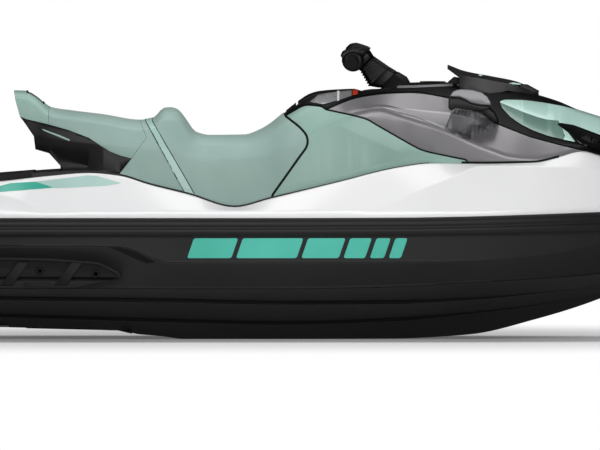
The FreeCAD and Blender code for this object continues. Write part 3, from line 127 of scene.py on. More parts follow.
# folds pressed into the panels: station, height, how far the fold stands out or in
panelFold = [(1700, 863, 0), (1765, 834, 0), (1860, 792, 8), (1990, 735, 8), (2060, 704, 0), (2300, 640, 0)]
cowlFold = [(1900, 893, 0), (1990, 887, 12), (2100, 874, 28), (2231, 860, 36), (2300, 850, 28), (2391, 790, 0)]
ledgeFold = [(875, 44, 0), (975, 44, 3), (2200, 44, 3), (2290, 40, 0)]


def slopes(xs, ys):
    # slopes that keep a smooth line from swinging past its points
    steps = [(ys[i + 1] - ys[i]) / (xs[i + 1] - xs[i]) for i in range(len(xs) - 1)]
    inner = []
    for i in range(1, len(xs) - 1):
        before, after = steps[i - 1], steps[i]
        if before * after <= 0:
            inner.append(0.0)
            continue
        wide, near = xs[i + 1] - xs[i], xs[i] - xs[i - 1]
        w1, w2 = 2 * wide + near, wide + 2 * near
        inner.append((w1 + w2) / (w1 / before + w2 / after))
    return [steps[0]] + inner + [steps[-1]]


slopeStore = {}


def follow(table, x, column=1):
    # a table's column at any station
    key = (id(table), column)
    if key not in slopeStore:
        xs = [row[0] for row in table]
        ys = [row[column] for row in table]
        slopeStore[key] = (xs, ys, slopes(xs, ys))
    xs, ys, ms = slopeStore[key]
    x = min(max(x, xs[0]), xs[-1])
    i = max(k for k in range(len(xs) - 1) if xs[k] <= x)
    step = xs[i + 1] - xs[i]
    t = (x - xs[i]) / step
    return ((2 * t**3 - 3 * t**2 + 1) * ys[i] + (t**3 - 2 * t**2 + t) * step * ms[i]
            + (3 * t**2 - 2 * t**3) * ys[i + 1] + (t**3 - t**2) * step * ms[i + 1])


def stationsOf(table, spacing):
    # the table's own stations, with more between them no further apart than spacing
    xs = [row[0] for row in table]
    out = []
    for a, b in zip(xs, xs[1:]):
        count = max(1, math.ceil((b - a) / spacing))
        out += [a + (b - a) * k / count for k in range(count)]
    return out + [xs[-1]]


def rounded(points, radii, steps=4, closed=False):
    # a line of points with each corner turned into a short curve
    out = []
    count = len(points)
    for k, b in enumerate(points):
        if not closed and k in (0, count - 1):
            out.append(tuple(b))
            continue
        a, c = points[k - 1], points[(k + 1) % count]
        r = radii[k] if isinstance(radii, (list, tuple)) else radii
        la, lc = math.dist(a, b), math.dist(b, c)
        ta, tc = min(r, 0.46 * la), min(r, 0.46 * lc)
        p = [b[i] + (a[i] - b[i]) * ta / max(la, 1e-6) for i in range(len(b))]
        q = [b[i] + (c[i] - b[i]) * tc / max(lc, 1e-6) for i in range(len(b))]
        for s in range(steps + 1):
            u = s / steps
            out.append(tuple((1 - u) ** 2 * p[i] + 2 * u * (1 - u) * b[i] + u * u * q[i] for i in range(len(b))))
    return out


def inset(half, depth):
    # a half section moved inwards, square to its sides
    ring = [(-half[1][0], half[1][1])] + list(half) + [(-half[-2][0], half[-2][1])]
    moved = []
    for before, here, after in zip(ring, ring[1:], ring[2:]):
        normals = []
        for a, b in ((before, here), (here, after)):
            length = math.hypot(b[0] - a[0], b[1] - a[1])
            normals.append(((a[1] - b[1]) / length, (b[0] - a[0]) / length))
        ny, nz = normals[0][0] + normals[1][0], normals[0][1] + normals[1][1]
        long = math.hypot(ny, nz)
        reach = depth / max(0.5, long / 2)
        y = here[0] + reach * ny / long if here[0] > 0 else 0.0
        moved.append((max(y, 0.0), here[1] + reach * nz / long))
    return moved


def bothSides(half):
    # a half section and its mirror image, as one ring
    return [(y, z) for y, z in half] + [(-y, z) for y, z in reversed(half) if y > 1e-6]


def topRound(half):
    # the last line to the middle, eased so that no ridge stands on the centreline
    steps = 3
    (y0, z0), (y1, z1) = half[-2], half[-1]
    start = (y0 * 0.6, z0 + (z1 - z0) * 0.4)
    out = list(half[:-1]) + [start]
    for s in range(1, steps + 1):
        u = s / (2 * steps)
        y = (1 - u) ** 2 * start[0] - u * u * start[0]
        z = (1 - u) ** 2 * start[1] + 2 * u * (1 - u) * z1 + u * u * start[1]
        out.append((max(0.0, y), z))
    out[-1] = (0.0, out[-1][1])
    return out


def toObject(name, bm):
    mesh = bpy.data.meshes.new(name)
    bm.to_mesh(mesh)
    bm.free()
    piece = bpy.data.objects.new(name, mesh)
    bpy.context.scene.collection.objects.link(piece)
    return piece


def skinPiece(name, rings):
    # a grid laid row by row on rings of points (x, y, z), closed at both ends
    rows, count = len(rings) - 1, len(rings[0])
    bm = bmesh.new()
    bmesh.ops.create_grid(bm, x_segments=rows, y_segments=count, size=1)
    for v in bm.verts:
        i = round((v.co.x + 1) / 2 * rows)
        j = round((v.co.y + 1) / 2 * count)
        v.co = place(*rings[i][j % count])
    bmesh.ops.remove_doubles(bm, verts=bm.verts, dist=2e-5)
    bmesh.ops.holes_fill(bm, edges=[e for e in bm.edges if e.is_boundary], sides=0)
    bmesh.ops.recalc_face_normals(bm, faces=bm.faces)
    return toObject(name, bm)


def sectionSkin(name, stations, section):
    # a skin from a half section given for each station
    return skinPiece(name, [[(x, y, z) for y, z in bothSides(section(x))] for x in stations])


def shifted(line, distance):
    # an open line moved sideways, to its left where the distance is positive
    out = []
    for k, (x, z) in enumerate(line):
        a, b = line[max(k - 1, 0)], line[min(k + 1, len(line) - 1)]
        n = []
        for p, q in ((a, (x, z)), ((x, z), b)):
            length = math.dist(p, q)
            if length > 1e-6:
                n.append((-(q[1] - p[1]) / length, (q[0] - p[0]) / length))
        nx, nz = sum(v[0] for v in n), sum(v[1] for v in n)
        size = max(math.hypot(nx, nz), 0.35)
        reach = distance * len(n) / (size * size)
        out.append((x + nx * reach, z + nz * reach))
    return out


def band(line, width):
    # the outline of a strip of that width along an open line
    return shifted(line, width / 2) + shifted(line, -width / 2)[::-1]


def drawnIn(outline, distance):
    # a closed outline moved inwards all round
    area = sum(a[0] * b[1] - b[0] * a[1] for a, b in zip(outline, outline[1:] + outline[:1]))
    turn = 1 if area > 0 else -1
    out = []
    count = len(outline)
    for k in range(count):
        a, b, c = outline[k - 1], outline[k], outline[(k + 1) % count]
        n = []
        for p, q in ((a, b), (b, c)):
            length = math.dist(p, q)
            n.append((-(q[1] - p[1]) / length * turn, (q[0] - p[0]) / length * turn))
        bx, bz = n[0][0] + n[1][0], n[0][1] + n[1][1]
        size = max(math.hypot(bx, bz), 0.35)
        reach = distance * 2 / (size * size)
        out.append((b[0] + bx * reach, b[1] + bz * reach))
    return out


def prism(outline, y0=-700, y1=700, name="tool"):
    # a side-view outline drawn across the craft
    bm = bmesh.new()
    face = bm.faces.new([bm.verts.new(place(x, y0, z)) for x, z in outline])
    grown = bmesh.ops.extrude_face_region(bm, geom=[face])
    moved = [g for g in grown["geom"] if isinstance(g, bmesh.types.BMVert)]
    bmesh.ops.translate(bm, verts=moved, vec=(0, (y1 - y0) / 1000, 0))
    bmesh.ops.recalc_face_normals(bm, faces=bm.faces)
    return toObject(name, bm)


def block(x0, x1, y0, y1, z0, z1):
    return prism([(x0, z0), (x1, z0), (x1, z1), (x0, z1)], y0, y1)


def duplicate(piece, name):
    twin = bpy.data.objects.new(name, piece.data.copy())
    bpy.context.scene.collection.objects.link(twin)
    return twin


def settle(piece):
    # bakes a piece's modifiers into its mesh
    graph = bpy.context.evaluated_depsgraph_get()
    mesh = bpy.data.meshes.new_from_object(piece.evaluated_get(graph))
    piece.modifiers.clear()
    piece.data = mesh
    return piece


def carve(piece, *tools, how="DIFFERENCE", keep=False):
    # cuts or intersects with each tool in turn; the tools go unless they are kept
    for tool in tools:
        cut = piece.modifiers.new("cut", "BOOLEAN")
        cut.object, cut.operation, cut.solver = tool, how, "EXACT"
    settle(piece)
    if not keep:
        for tool in tools:
            bpy.data.objects.remove(tool)
    return piece


def clean(piece, merge, flat):
    # points closer than merge mm become one; faces within flat degrees of each other are joined
    bm = bmesh.new()
    bm.from_mesh(piece.data)
    bmesh.ops.remove_doubles(bm, verts=bm.verts, dist=merge / 1000)
    bmesh.ops.dissolve_degenerate(bm, edges=bm.edges, dist=merge / 2000)
    if flat:
        bmesh.ops.dissolve_limit(bm, angle_limit=math.radians(flat), verts=bm.verts, edges=bm.edges)
    bm.to_mesh(piece.data)
    bm.free()
    return piece


def softEdges(piece, width, segments=2, angle=34, merge=0.4, flat=None):
    # small rounds on every hard edge
    clean(piece, merge, flat)
    edge = piece.modifiers.new("edge", "BEVEL")
    edge.width, edge.segments, edge.profile = width / 1000, segments, 0.5
    edge.limit_method, edge.angle_limit = "ANGLE", math.radians(angle)
    edge.use_clamp_overlap = True
    edge.miter_outer = "MITER_ARC"
    return settle(piece)


def dress(piece, body, material, slot, *nodes, sharp=38):
    # material, shading, body and the CAD nodes that this piece stands for
    piece.data.materials.clear()
    piece.data.materials.append(material)
    piece.data.shade_smooth()
    piece.data.set_sharp_from_angle(angle=math.radians(sharp))
    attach(piece, body)
    if nodes:
        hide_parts(*nodes)
    return piece


def merged(name, pieces):
    # several pieces as one mesh
    bm = bmesh.new()
    for piece in pieces:
        bm.from_mesh(piece.data)
        bpy.data.objects.remove(piece)
    return toObject(name, bm)


def mirrorPair(name, piece):
    # a port piece and its starboard twin in one mesh
    bm = bmesh.new()
    bm.from_mesh(piece.data)
    twin = bmesh.ops.duplicate(bm, geom=bm.verts[:] + bm.edges[:] + bm.faces[:])["geom"]
    faces = [g for g in twin if isinstance(g, bmesh.types.BMFace)]
    bmesh.ops.scale(bm, vec=(1, -1, 1), verts=[g for g in twin if isinstance(g, bmesh.types.BMVert)])
    bmesh.ops.reverse_faces(bm, faces=faces)
    bpy.data.objects.remove(piece)
    return toObject(name, bm)


def tube(name, points, radius, sides):
    # a round bar along points given in mm
    curve = bpy.data.curves.new(name, "CURVE")
    curve.dimensions = "3D"
    curve.bevel_depth = radius / 1000
    curve.bevel_resolution = max(1, sides // 4)
    curve.use_fill_caps = True
    line = curve.splines.new("POLY")
    line.points.add(len(points) - 1)
    for spot, point in zip(line.points, points):
        spot.co = (*place(*point), 1)
    shell = bpy.data.objects.new(name, curve)
    bpy.context.scene.collection.objects.link(shell)
    graph = bpy.context.evaluated_depsgraph_get()
    mesh = bpy.data.meshes.new_from_object(shell.evaluated_get(graph))
    bpy.data.objects.remove(shell)
    piece = bpy.data.objects.new(name, mesh)
    bpy.context.scene.collection.objects.link(piece)
    return piece


def copyNode(node):
    # a merged copy of a CAD node's mesh
    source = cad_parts[node]
    bm = bmesh.new()
    bm.from_mesh(source.data)
    bmesh.ops.remove_doubles(bm, verts=bm.verts, dist=2e-5)
    return toObject(node + "_look", bm)


def rod(start, end, radius):
    # a round tool, level along the craft or upright, from start to end
    bm = bmesh.new()
    bmesh.ops.create_cone(bm, cap_ends=True, segments=40, radius1=radius / 1000, radius2=radius / 1000,
                          depth=math.dist(start, end) / 1000)
    if start[0] != end[0]:
        bmesh.ops.rotate(bm, matrix=Matrix.Rotation(math.pi / 2, 3, "Y"), verts=bm.verts)
    bmesh.ops.translate(bm, verts=bm.verts, vec=place(*[(a + b) / 2 for a, b in zip(start, end)]))
    return toObject("tool", bm)


# materials
def linear(code):
    # an sRGB hex colour as linear values
    values = [int(code[i:i + 2], 16) / 255 for i in (0, 2, 4)]
    return [v / 12.92 if v <= 0.04045 else ((v + 0.055) / 1.055) ** 2.4 for v in values] + [1.0]


def addNode(tree, kind, links=None, **settings):
    # one node with its settings and the sockets that feed it
    node = tree.nodes.new(kind)
    for key, value in settings.items():
        setattr(node, key, value)
    for socket, value in (links or {}).items():
        if isinstance(value, bpy.types.NodeSocket):
            tree.links.new(value, node.inputs[socket])
        else:
            node.inputs[socket].default_value = value
    return node


def surface(name, low, high, patch, rough, grain, depth, metallic=0.0, coat=0.0, coatRough=0.05,
            roughSwing=0.06, sheen=0.0, specular=0.5, kind="noise", fade=None):
    # colour drifts between low and high over patches of that size in mm; grain in mm sets the bump
    mat = bpy.data.materials.new(name)
    mat.use_nodes = True
    tree = mat.node_tree
    shader = tree.nodes["Principled BSDF"]
    spot = addNode(tree, "ShaderNodeTexCoord").outputs["Object"]
    broad = addNode(tree, "ShaderNodeTexNoise", {"Vector": spot, "Scale": 1000 / patch, "Detail": 3.0,
                                                 "Roughness": 0.55})
    ramp = addNode(tree, "ShaderNodeMapRange", {"Value": broad.outputs["Fac"], 1: 0.35, 2: 0.65})
    mix = addNode(tree, "ShaderNodeMix", {0: ramp.outputs["Result"], 6: linear(low), 7: linear(high)},
                  data_type="RGBA")
    tree.links.new(mix.outputs[2], shader.inputs["Base Color"])
    if fade:
        # painted light and shade: from the drifting colour at the first height to a third colour at the second
        upright = addNode(tree, "ShaderNodeSeparateXYZ", {"Vector": spot}).outputs["Z"]
        part = addNode(tree, "ShaderNodeMapRange", {"Value": upright, 1: fade[0] / 1000, 2: fade[1] / 1000})
        second = addNode(tree, "ShaderNodeMix", {0: part.outputs["Result"], 6: mix.outputs[2], 7: linear(fade[2])},
                         data_type="RGBA")
        tree.links.new(second.outputs[2], shader.inputs["Base Color"])
    rub = addNode(tree, "ShaderNodeMapRange", {"Value": broad.outputs["Fac"], 1: 0.3, 2: 0.7, 3: rough - roughSwing / 2,
                                               4: rough + roughSwing / 2})
    tree.links.new(rub.outputs["Result"], shader.inputs["Roughness"])
    if kind == "grooves":
        fine = addNode(tree, "ShaderNodeTexWave", {"Vector": spot, "Scale": 2000 / grain / math.tau},
                       bands_direction="Y")
        height = fine.outputs["Fac"]
    elif kind == "cells":
        fine = addNode(tree, "ShaderNodeTexVoronoi", {"Vector": spot, "Scale": 1000 / grain}, feature="SMOOTH_F1")
        height = fine.outputs["Distance"]
    else:
        fine = addNode(tree, "ShaderNodeTexNoise", {"Vector": spot, "Scale": 1000 / grain, "Detail": 2.0})
        height = fine.outputs["Fac"]
    bump = addNode(tree, "ShaderNodeBump", {"Height": height, "Strength": 1.0, "Distance": depth / 1000})
    tree.links.new(bump.outputs["Normal"], shader.inputs["Normal"])
    shader.inputs["Metallic"].default_value = metallic
    if metallic < 0.9:
        shader.inputs["IOR"].default_value = 1.45
    shader.inputs["Specular IOR Level"].default_value = specular
    shader.inputs["Coat Weight"].default_value = coat
    shader.inputs["Coat Roughness"].default_value = coatRough
    shader.inputs["Sheen Weight"].default_value = sheen
    return mat


# moulded gelcoat, polished: even white with a soft wide gloss
gelcoatWhite = surface("gelcoat_white_moulded", "E6E7E8", "EEEEEF", 900, 0.24, 60, 0.02, coat=0.3, coatRough=0.1)
# moulded gelcoat, black: dark with a satin sheen and the faint waviness of a big moulding
gelcoatBlack = surface("gelcoat_black_moulded", "1C1C1D", "222223", 700, 0.42, 45, 0.02, roughSwing=0.08,
                       specular=0.25)
# the same gelcoat below the chine, painted darker as shade against the light thrown up from the floor, and a little
# glossier
gelcoatBlackPaintedShade = surface("gelcoat_black_painted_shade", "060607", "0A0A0B", 700, 0.34, 45, 0.02, specular=0.2)
# grained polypropylene: near-black plastic with a fine leather-like tooth that spreads the light
grainedBlack = surface("polypropylene_black_grained", "070708", "0C0C0D", 300, 0.5, 1.6, 0.05, kind="cells",
                       specular=0.18)
# smooth moulded ABS: semi-gloss black with soft highlights
smoothBlack = surface("abs_black_smooth", "070708", "0C0C0D", 260, 0.34, 30, 0.01, specular=0.2)
# lacquered acrylic, piano black: clear deep reflections
pianoBlack = surface("acrylic_black_lacquered", "08080A", "0D0D10", 400, 0.09, 40, 0.004, coat=0.6)
# moulded ABS of the deflector: a dark grey that still shows its form
deflectorGrey = surface("abs_dark_grey_moulded", "222123", "2A292B", 260, 0.36, 1.6, 0.02, specular=0.4)
# lacquer with fine metal flake: mid grey that lightens where it turns to the light
flakeGrey = surface("lacquer_grey_flake", "787679", "817F82", 500, 0.36, 1.2, 0.006, metallic=0.25, coat=0.3,
                    coatRough=0.2)
# painted shade: the same lacquer in the recess, darkened from deep shade at the top to mid grey at its foot
flakeGreyPaintedShade = surface("lacquer_grey_flake_painted_shade", "302F31", "383739", 500, 0.40, 1.2, 0.006, metallic=0.25,
                        fade=(614, 534, "8E8C8F"))
# the same lacquer on the mirror caps, a shade darker
flakeCap = surface("lacquer_grey_flake_cap", "605E61", "6A686B", 300, 0.34, 1.2, 0.006, metallic=0.25, coat=0.3)
# painted light: the same lacquer on the wedge that faces the light, painted pale above and mid grey below
flakeGreyPaintedLight = surface("lacquer_grey_flake_painted_light", "ABA9AC", "B5B3B6", 500, 0.33, 30, 0.008, coat=0.3,
                         fade=(612, 559, "7A787B"))
# moulded ABS, pigmented and satin: pale green with an even soft shine
mintSatin = surface("abs_mint_satin", "91B3A8", "9ABAAF", 500, 0.42, 30, 0.01)
# lacquer, pale green and glossy, and a darker copy of it painted as shade on the facet that faces down
mintGloss = surface("lacquer_mint_gloss", "BADED4", "C2E4DA", 500, 0.26, 30, 0.008, coat=0.3)
mintPaintedShade = surface("lacquer_mint_painted_shade", "6E8E84", "789A8F", 500, 0.3, 30, 0.008, coat=0.3)
# coated vinyl seat cover: fine pebble grain, soft sheen, a little drift in tone where it is stretched
mintVinyl = surface("vinyl_mint_pebbled", "92AFA7", "9DB9B1", 240, 0.50, 1.5, 0.06, kind="cells", sheen=0.15)
# smoother vinyl of the sewn-on strap, paler than the cover
strapVinyl = surface("vinyl_mint_smooth", "A8CBC2", "B1D3CA", 160, 0.34, 1.2, 0.02, sheen=0.1)
# printed film: flat even colour with a plain satin gloss
tealFilm = surface("film_teal_printed", "3BA793", "46B5A1", 300, 0.35, 30, 0.004)
tealFlash = surface("film_teal_flash", "45B3A0", "4FBEAB", 300, 0.35, 30, 0.004)
mintFilm = surface("film_mint_printed", "A9C9C2", "B2D1CA", 300, 0.35, 30, 0.004)
# closed-cell foam with milled grooves, which catch the light as fine lines along the craft
foamGrooved = surface("foam_black_grooved", "121213", "1A1A1B", 120, 0.74, 11, 1.6, kind="grooves", specular=0.3)
# extruded rubber: satin black
rubberBlack = surface("rubber_black_extruded", "111112", "171718", 300, 0.5, 8, 0.02, specular=0.3)
# rubber lip in the shut lines: a dull green black that reads as shade
rubberShade = surface("rubber_shut_line", "0E1614", "131B19", 200, 0.7, 8, 0.02, specular=0.2)
# moulded grip rubber: dull, with a fine tooth
rubberGrip = surface("rubber_black_moulded", "050506", "090909", 80, 0.6, 1.2, 0.04, kind="cells", specular=0.15)
# powder-coated steel tube: black with a soft, slightly uneven shine
powderBlack = surface("steel_black_powder_coated", "0E0E0F", "141415", 120, 0.42, 0.8, 0.02, specular=0.35)
# cast alloy, bead blasted and anodised: even dull silver
castAlloy = surface("aluminium_cast_blasted", "8F9193", "9B9DA0", 160, 0.42, 1.4, 0.03, metallic=1.0)
# alloy, dark anodised: metal with little glare
darkAlloy = surface("aluminium_dark_anodised", "3A3B3D", "444547", 160, 0.4, 1.4, 0.02, metallic=0.9)
# stainless steel, polished: bright with sharp reflections
stainless = surface("stainless_polished", "B4B6B8", "C2C4C6", 120, 0.2, 6, 0.004, metallic=1.0)
# silvered glass: a clear mirror
silverGlass = surface("glass_silvered", "D4D8DA", "DADEE0", 300, 0.03, 60, 0.001, metallic=1.0, roughSwing=0.01)
# painted and moulded plastic of the small console parts, and two colours of painted highlight
silverPaint = surface("paint_silver_smooth", "A2A3A5", "B0B1B3", 120, 0.28, 1.2, 0.004, metallic=0.6)
# painted highlight: a satin grey for the glint along the console's and hood's top edges
edgeHighlightGrey = surface("highlight_grey_painted", "77777A", "828285", 200, 0.42, 1.2, 0.006, metallic=0.3)
redPlastic = surface("abs_red_moulded", "B4341F", "C23C26", 60, 0.3, 10, 0.01)
# painted highlight: a white for the glint on the glovebox's side
paintedHighlightWhite = surface("highlight_white_painted", "D8D8DA", "E0E0E2", 60, 0.35, 6, 0.01)
print("materials made")


# deck
deckSize = {"spacing": 26, "side": 9, "crease": 6, "edge": 9, "mat": 19, "film": 0.8, "base": 455}
wellSize = {"floor": 415, "inner": 207, "margin": 42, "foot": 6, "lean": 22, "top": 1200}
binBay = {"rear": 2330, "front": 2880, "half": 190, "top": 1100}
beadSize = {"rear": 632, "front": 2165, "step": 24, "margin": 30, "half": 11}


def deckSection(x, lift=0.0):
    edge = follow(gunwale, x)
    side = follow(railLine, x, 2) + 20
    cy, cz = follow(deckLines, x, 1), follow(deckLines, x, 2)
    ty, tz = follow(deckLines, x, 3), follow(deckLines, x, 4)
    base = deckSize["base"]
    half = [(0, base), (edge, base), (edge, side), (cy, cz), (ty, tz), (0, follow(deckLines, x, 5))]
    if lift:
        half = inset(half, -lift)
    half = rounded(half, [0, 1.5, deckSize["side"], deckSize["crease"], deckSize["edge"], 0], 4)
    return topRound(half)


def deckEdge(x):
    return follow(deckLines, x, 3)


def deckTop(x, y):
    middle = follow(deckLines, x, 5)
    return middle + (follow(deckLines, x, 4) - middle) * y / deckEdge(x)


def footwellRing(x, floor=wellSize["floor"], inner=wellSize["inner"], margin=wellSize["margin"]):
    outer, top = deckEdge(min(x, 2150)) - margin, wellSize["top"]
    return [(x, inner + wellSize["foot"], floor), (x, outer - wellSize["lean"], floor), (x, outer, top),
            (x, inner, top)]


def footwell():
    # the floor runs level, and rises at both ends
    level = list(range(800, 1701, 100)) + [1850, 1950]
    return skinPiece("tool", [footwellRing(640, 652), footwellRing(700, 560)] + [footwellRing(x) for x in level]
                     + [footwellRing(2120, 431, 267, 70), footwellRing(2160, 445, 297, 90)])


def binBlock(low):
    # room for the front bin, down to the height low
    return block(binBay["rear"], binBay["front"], -binBay["half"], binBay["half"], low, binBay["top"])


def flip(piece):
    # the same tool on the other side
    twin = duplicate(piece, "tool")
    bm = bmesh.new()
    bm.from_mesh(twin.data)
    bmesh.ops.scale(bm, vec=(1, -1, 1), verts=bm.verts)
    bmesh.ops.reverse_faces(bm, faces=bm.faces)
    bm.to_mesh(twin.data)
    bm.free()
    return twin


deckForm = sectionSkin("deckForm", stationsOf(deckLines, deckSize["spacing"]), deckSection)
deck = duplicate(deckForm, "deckMoulding")
port = footwell()
carve(deck, port, flip(port), binBlock(300))
dress(softEdges(deck, 5, 3), "hull", gelcoatWhite, "deck_white", "deck", sharp=30)

# film on the deck's flanks: outline and material
deckFilm = {
    "filmTeal": ([(505, 591), (554, 603), (646, 608), (673, 600), (725, 586), (505, 569)], tealFilm),
    "filmTealAft": ([(250, 571), (420, 582), (494, 590), (494, 569), (300, 559)], tealFilm),
    "filmMint": ([(646, 608), (847, 632), (881, 630), (973, 603), (920, 593), (725, 583), (673, 600)], mintFilm),
}
filmShell = carve(sectionSkin("filmShell", stationsOf(deckLines, deckSize["spacing"]),
                              lambda x: deckSection(x, deckSize["film"])), deckForm, keep=True)
for name, (line, material) in deckFilm.items():
    piece = carve(duplicate(filmShell, name), prism(line), how="INTERSECT")
    dress(piece, "hull", material, "accent_mint")
bpy.data.objects.remove(filmShell)

# foam mat on the boarding platform, and the dark rubber bead round the footwells' outer rims, whose black also stands
# in for the shade inside the footwells
matRings = []
for x in [25, 29] + list(range(60, 640, 30)) + [636, 640]:
    half = min(deckEdge(x) - 26, 486)
    thick = deckSize["mat"] * (0.7 if x in (25, 640) else 1)
    row = [(x, y, deckTop(x, abs(y)) - 2) for y in (half, 0, -half)]
    row += [(x, y, deckTop(x, abs(y)) + h) for y, h in (
        (-half, thick - 4), (-half + 5, thick), (-half / 2, thick), (0, thick), (half / 2, thick), (half - 5, thick),
        (half, thick - 4))]
    matRings.append(row)
mat = skinPiece("platformMat", matRings)
carve(mat, rod((330, 220, 560), (330, 220, 640), 24), rod((330, -220, 560), (330, -220, 640), 24))
dress(mat, "hull", foamGrooved, "mat_foam", "platform_mat", sharp=30)
# partly painted shade: the bead's black line also draws the dark inside the footwells
beadLift = [(632, 17), (734, 14), (800, 10), (900, 8), (1550, 6), (1700, 4), (2160, 3)]
beadRings = []
for x in range(beadSize["rear"], beadSize["front"], beadSize["step"]):
    rim, half = deckEdge(x) - beadSize["margin"], beadSize["half"]
    low, high = deckTop(x, rim) - 3, deckTop(x, rim) + follow(beadLift, x)
    beadRings.append([(x, rim - half, low), (x, rim + half, low), (x, rim + half, high - 2), (x, rim + half - 3, high),
                      (x, rim - half + 3, high), (x, rim - half, high - 2)])
dress(mirrorPair("rimBead", skinPiece("rimBead", beadRings)), "hull", rubberBlack, "mat_foam", sharp=30)
print("deck made")


# hull
hullSize = {"spacing": 30, "cut": 455, "shaft": 165, "ledge": 26, "riser": 11, "pad": 18, "film": 0.9}


def hullSection(x, lift=0.0):
    keel, s2y, s2z, s1y, s1z, cy, cz, ky, kz = [follow(hullLines, x, k) for k in range(1, 10)]
    fade = min(1.0, max(0.08, (2750 - x) / 700))
    ledge, riser = hullSize["ledge"] * fade, hullSize["riser"] * fade
    pad = min(hullSize["pad"], s2y / 4)
    half = [
        (0, keel), (pad, keel + 0.5), (s2y - ledge, s2z), (s2y, s2z), (s2y + 2 * fade, s2z + riser),
        (s1y - ledge, s1z), (s1y, s1z), (s1y + 2 * fade, s1z + riser),
        (cy - ledge / 2, cz - 2 * fade), (cy, cz), (cy + 3 * fade, cz + riser),
        (ky, kz), (ky - 5 * fade, kz + 4 * fade), (follow(gunwale, x) - 3, 480), (0, 480),
    ]
    if lift:
        half = inset(half, -lift)
    return rounded(half, [0, 6, 5, 3, 3, 5, 3, 3, 5, 3, 4, 8, 3, 1, 0], 3)


hull = sectionSkin("hullMoulding", stationsOf(hullLines, hullSize["spacing"]), hullSection)
# the raised bottom aft, and the intake duct, both from the side
bottomCut = [(-20, -20), (1200, -20), (1200, 0), (1125, 11), (1033, 19), (959, 37), (505, 47), (-20, 47)]
ductSide = [(1010, 21), (1010, 44), (880, 130), (760, 215), (690, 245), (545, 245), (545, 85), (600, 62), (607, 42),
            (957, 34)]
shaft = hullSize["shaft"]
for tool in (block(-60, 3400, -700, 700, hullSize["cut"], 600), prism(bottomCut, -130, 130),
             block(-10, 540, -125, 125, -10, 335), prism(ductSide, -80, 80),
             rod((520, 0, shaft), (580, 0, shaft), 78), rod((700, 0, shaft), (1140, 0, shaft), 15)):
    carve(hull, tool)
dress(softEdges(hull, 2.0, 2), "hull", gelcoatBlack, "hull_black", "hull", sharp=22)
# painted shade: the faces below the chine take the darker gelcoat
hull.data.materials.append(gelcoatBlackPaintedShade)
for face in hull.data.polygons:
    spot = face.center
    x, z = (spot.x - sternX) * 1000, (spot.z - keelZ) * 1000
    if z < follow(hullLines, x, 7) + 4:
        face.material_index = 1

# the flash on the hull's sides: slanted blocks of one height
hullStations = stationsOf(hullLines, hullSize["spacing"])
hullOut = sectionSkin("hullOut", hullStations, lambda x: hullSection(x, hullSize["film"]))
flashShell = carve(hullOut, sectionSkin("hullIn", hullStations, hullSection))
flash = {"low": 318, "high": 394, "lean": 26, "corner": 9,
         "spans": ((1224, 1392), (1410, 1640), (1658, 1800), (1818, 1900), (1918, 1972), (1990, 2036))}
bars = []
for x0, x1 in flash["spans"]:
    lean = flash["lean"]
    line = [(x0, flash["low"]), (x1, flash["low"]), (x1 + lean, flash["high"]), (x0 + lean, flash["high"])]
    bars.append(carve(duplicate(flashShell, "bar"), prism(rounded(line, flash["corner"], 3, closed=True)),
                      how="INTERSECT"))
dress(merged("hullFlash", bars), "hull", tealFlash, "accent_mint")
# painted shade: a film of the darker gelcoat on the step where the side's knuckle drops
notchShadeLine = [(925, 360), (998, 359), (1042, 337), (1105, 303), (1071, 298), (1032, 313), (959, 347)]
notch = carve(duplicate(flashShell, "hullNotchShade"), prism(notchShadeLine), how="INTERSECT")
dress(notch, "hull", gelcoatBlackPaintedShade, "hull_black")
bpy.data.objects.remove(flashShell)
print("hull made")


# rub rail
railSize = {"root": -15, "proud": 20, "groove": 3}


def railRings():
    track = [(x, follow(gunwale, x)) for x in (12, 70, 130, 200, 300, 400, 500, 700, 900, 1150, 1400, 1650, 1900, 2100,
                                               2300, 2450, 2600, 2730, 2850, 2950, 3050, 3130, 3200, 3240, 3270)]
    nose = [(3290, 100), (3298, 60), (3300, 30), (3300.5, 0)]
    port = track + nose
    full = port + [(x, -y) for x, y in reversed(port[:-1])]
    rings = []
    for k, (x, y) in enumerate(full):
        a, b = full[max(k - 1, 0)], full[min(k + 1, len(full) - 1)]
        length = math.dist(a, b)
        ox, oy = -(b[1] - a[1]) / length, (b[0] - a[0]) / length
        low, high = follow(railLine, x, 1), follow(railLine, x, 2)
        root, proud, groove = railSize["root"], railSize["proud"], railSize["groove"]
        mid = (low + high) / 2
        profile = [(root, low), (proud * 0.6, low), (proud, low + 13), (proud, mid - 9), (proud - groove, mid - 6),
                   (proud - groove, mid + 2), (proud, mid + 5), (proud, high - 15), (proud * 0.5, high), (root, high)]
        profile = rounded(profile, 4, 2, closed=True)
        rings.append([(x + ox * reach, y + oy * reach, z) for reach, z in profile])
    return rings


rail = skinPiece("rubRail", railRings())
dress(rail, "hull", rubberBlack, "rail_black", "rub_rail", sharp=50)
print("rail made")


# saddle, panels and hood from one body form
def along(p, q, z, least=0.1, most=0.9):
    # the point at height z on the line from p up to q, kept between two shares of its length
    t = min(most, max(least, (z - p[1]) / (q[1] - p[1])))
    return (p[0] + (q[0] - p[0]) * t, p[1] + (q[1] - p[1]) * t)


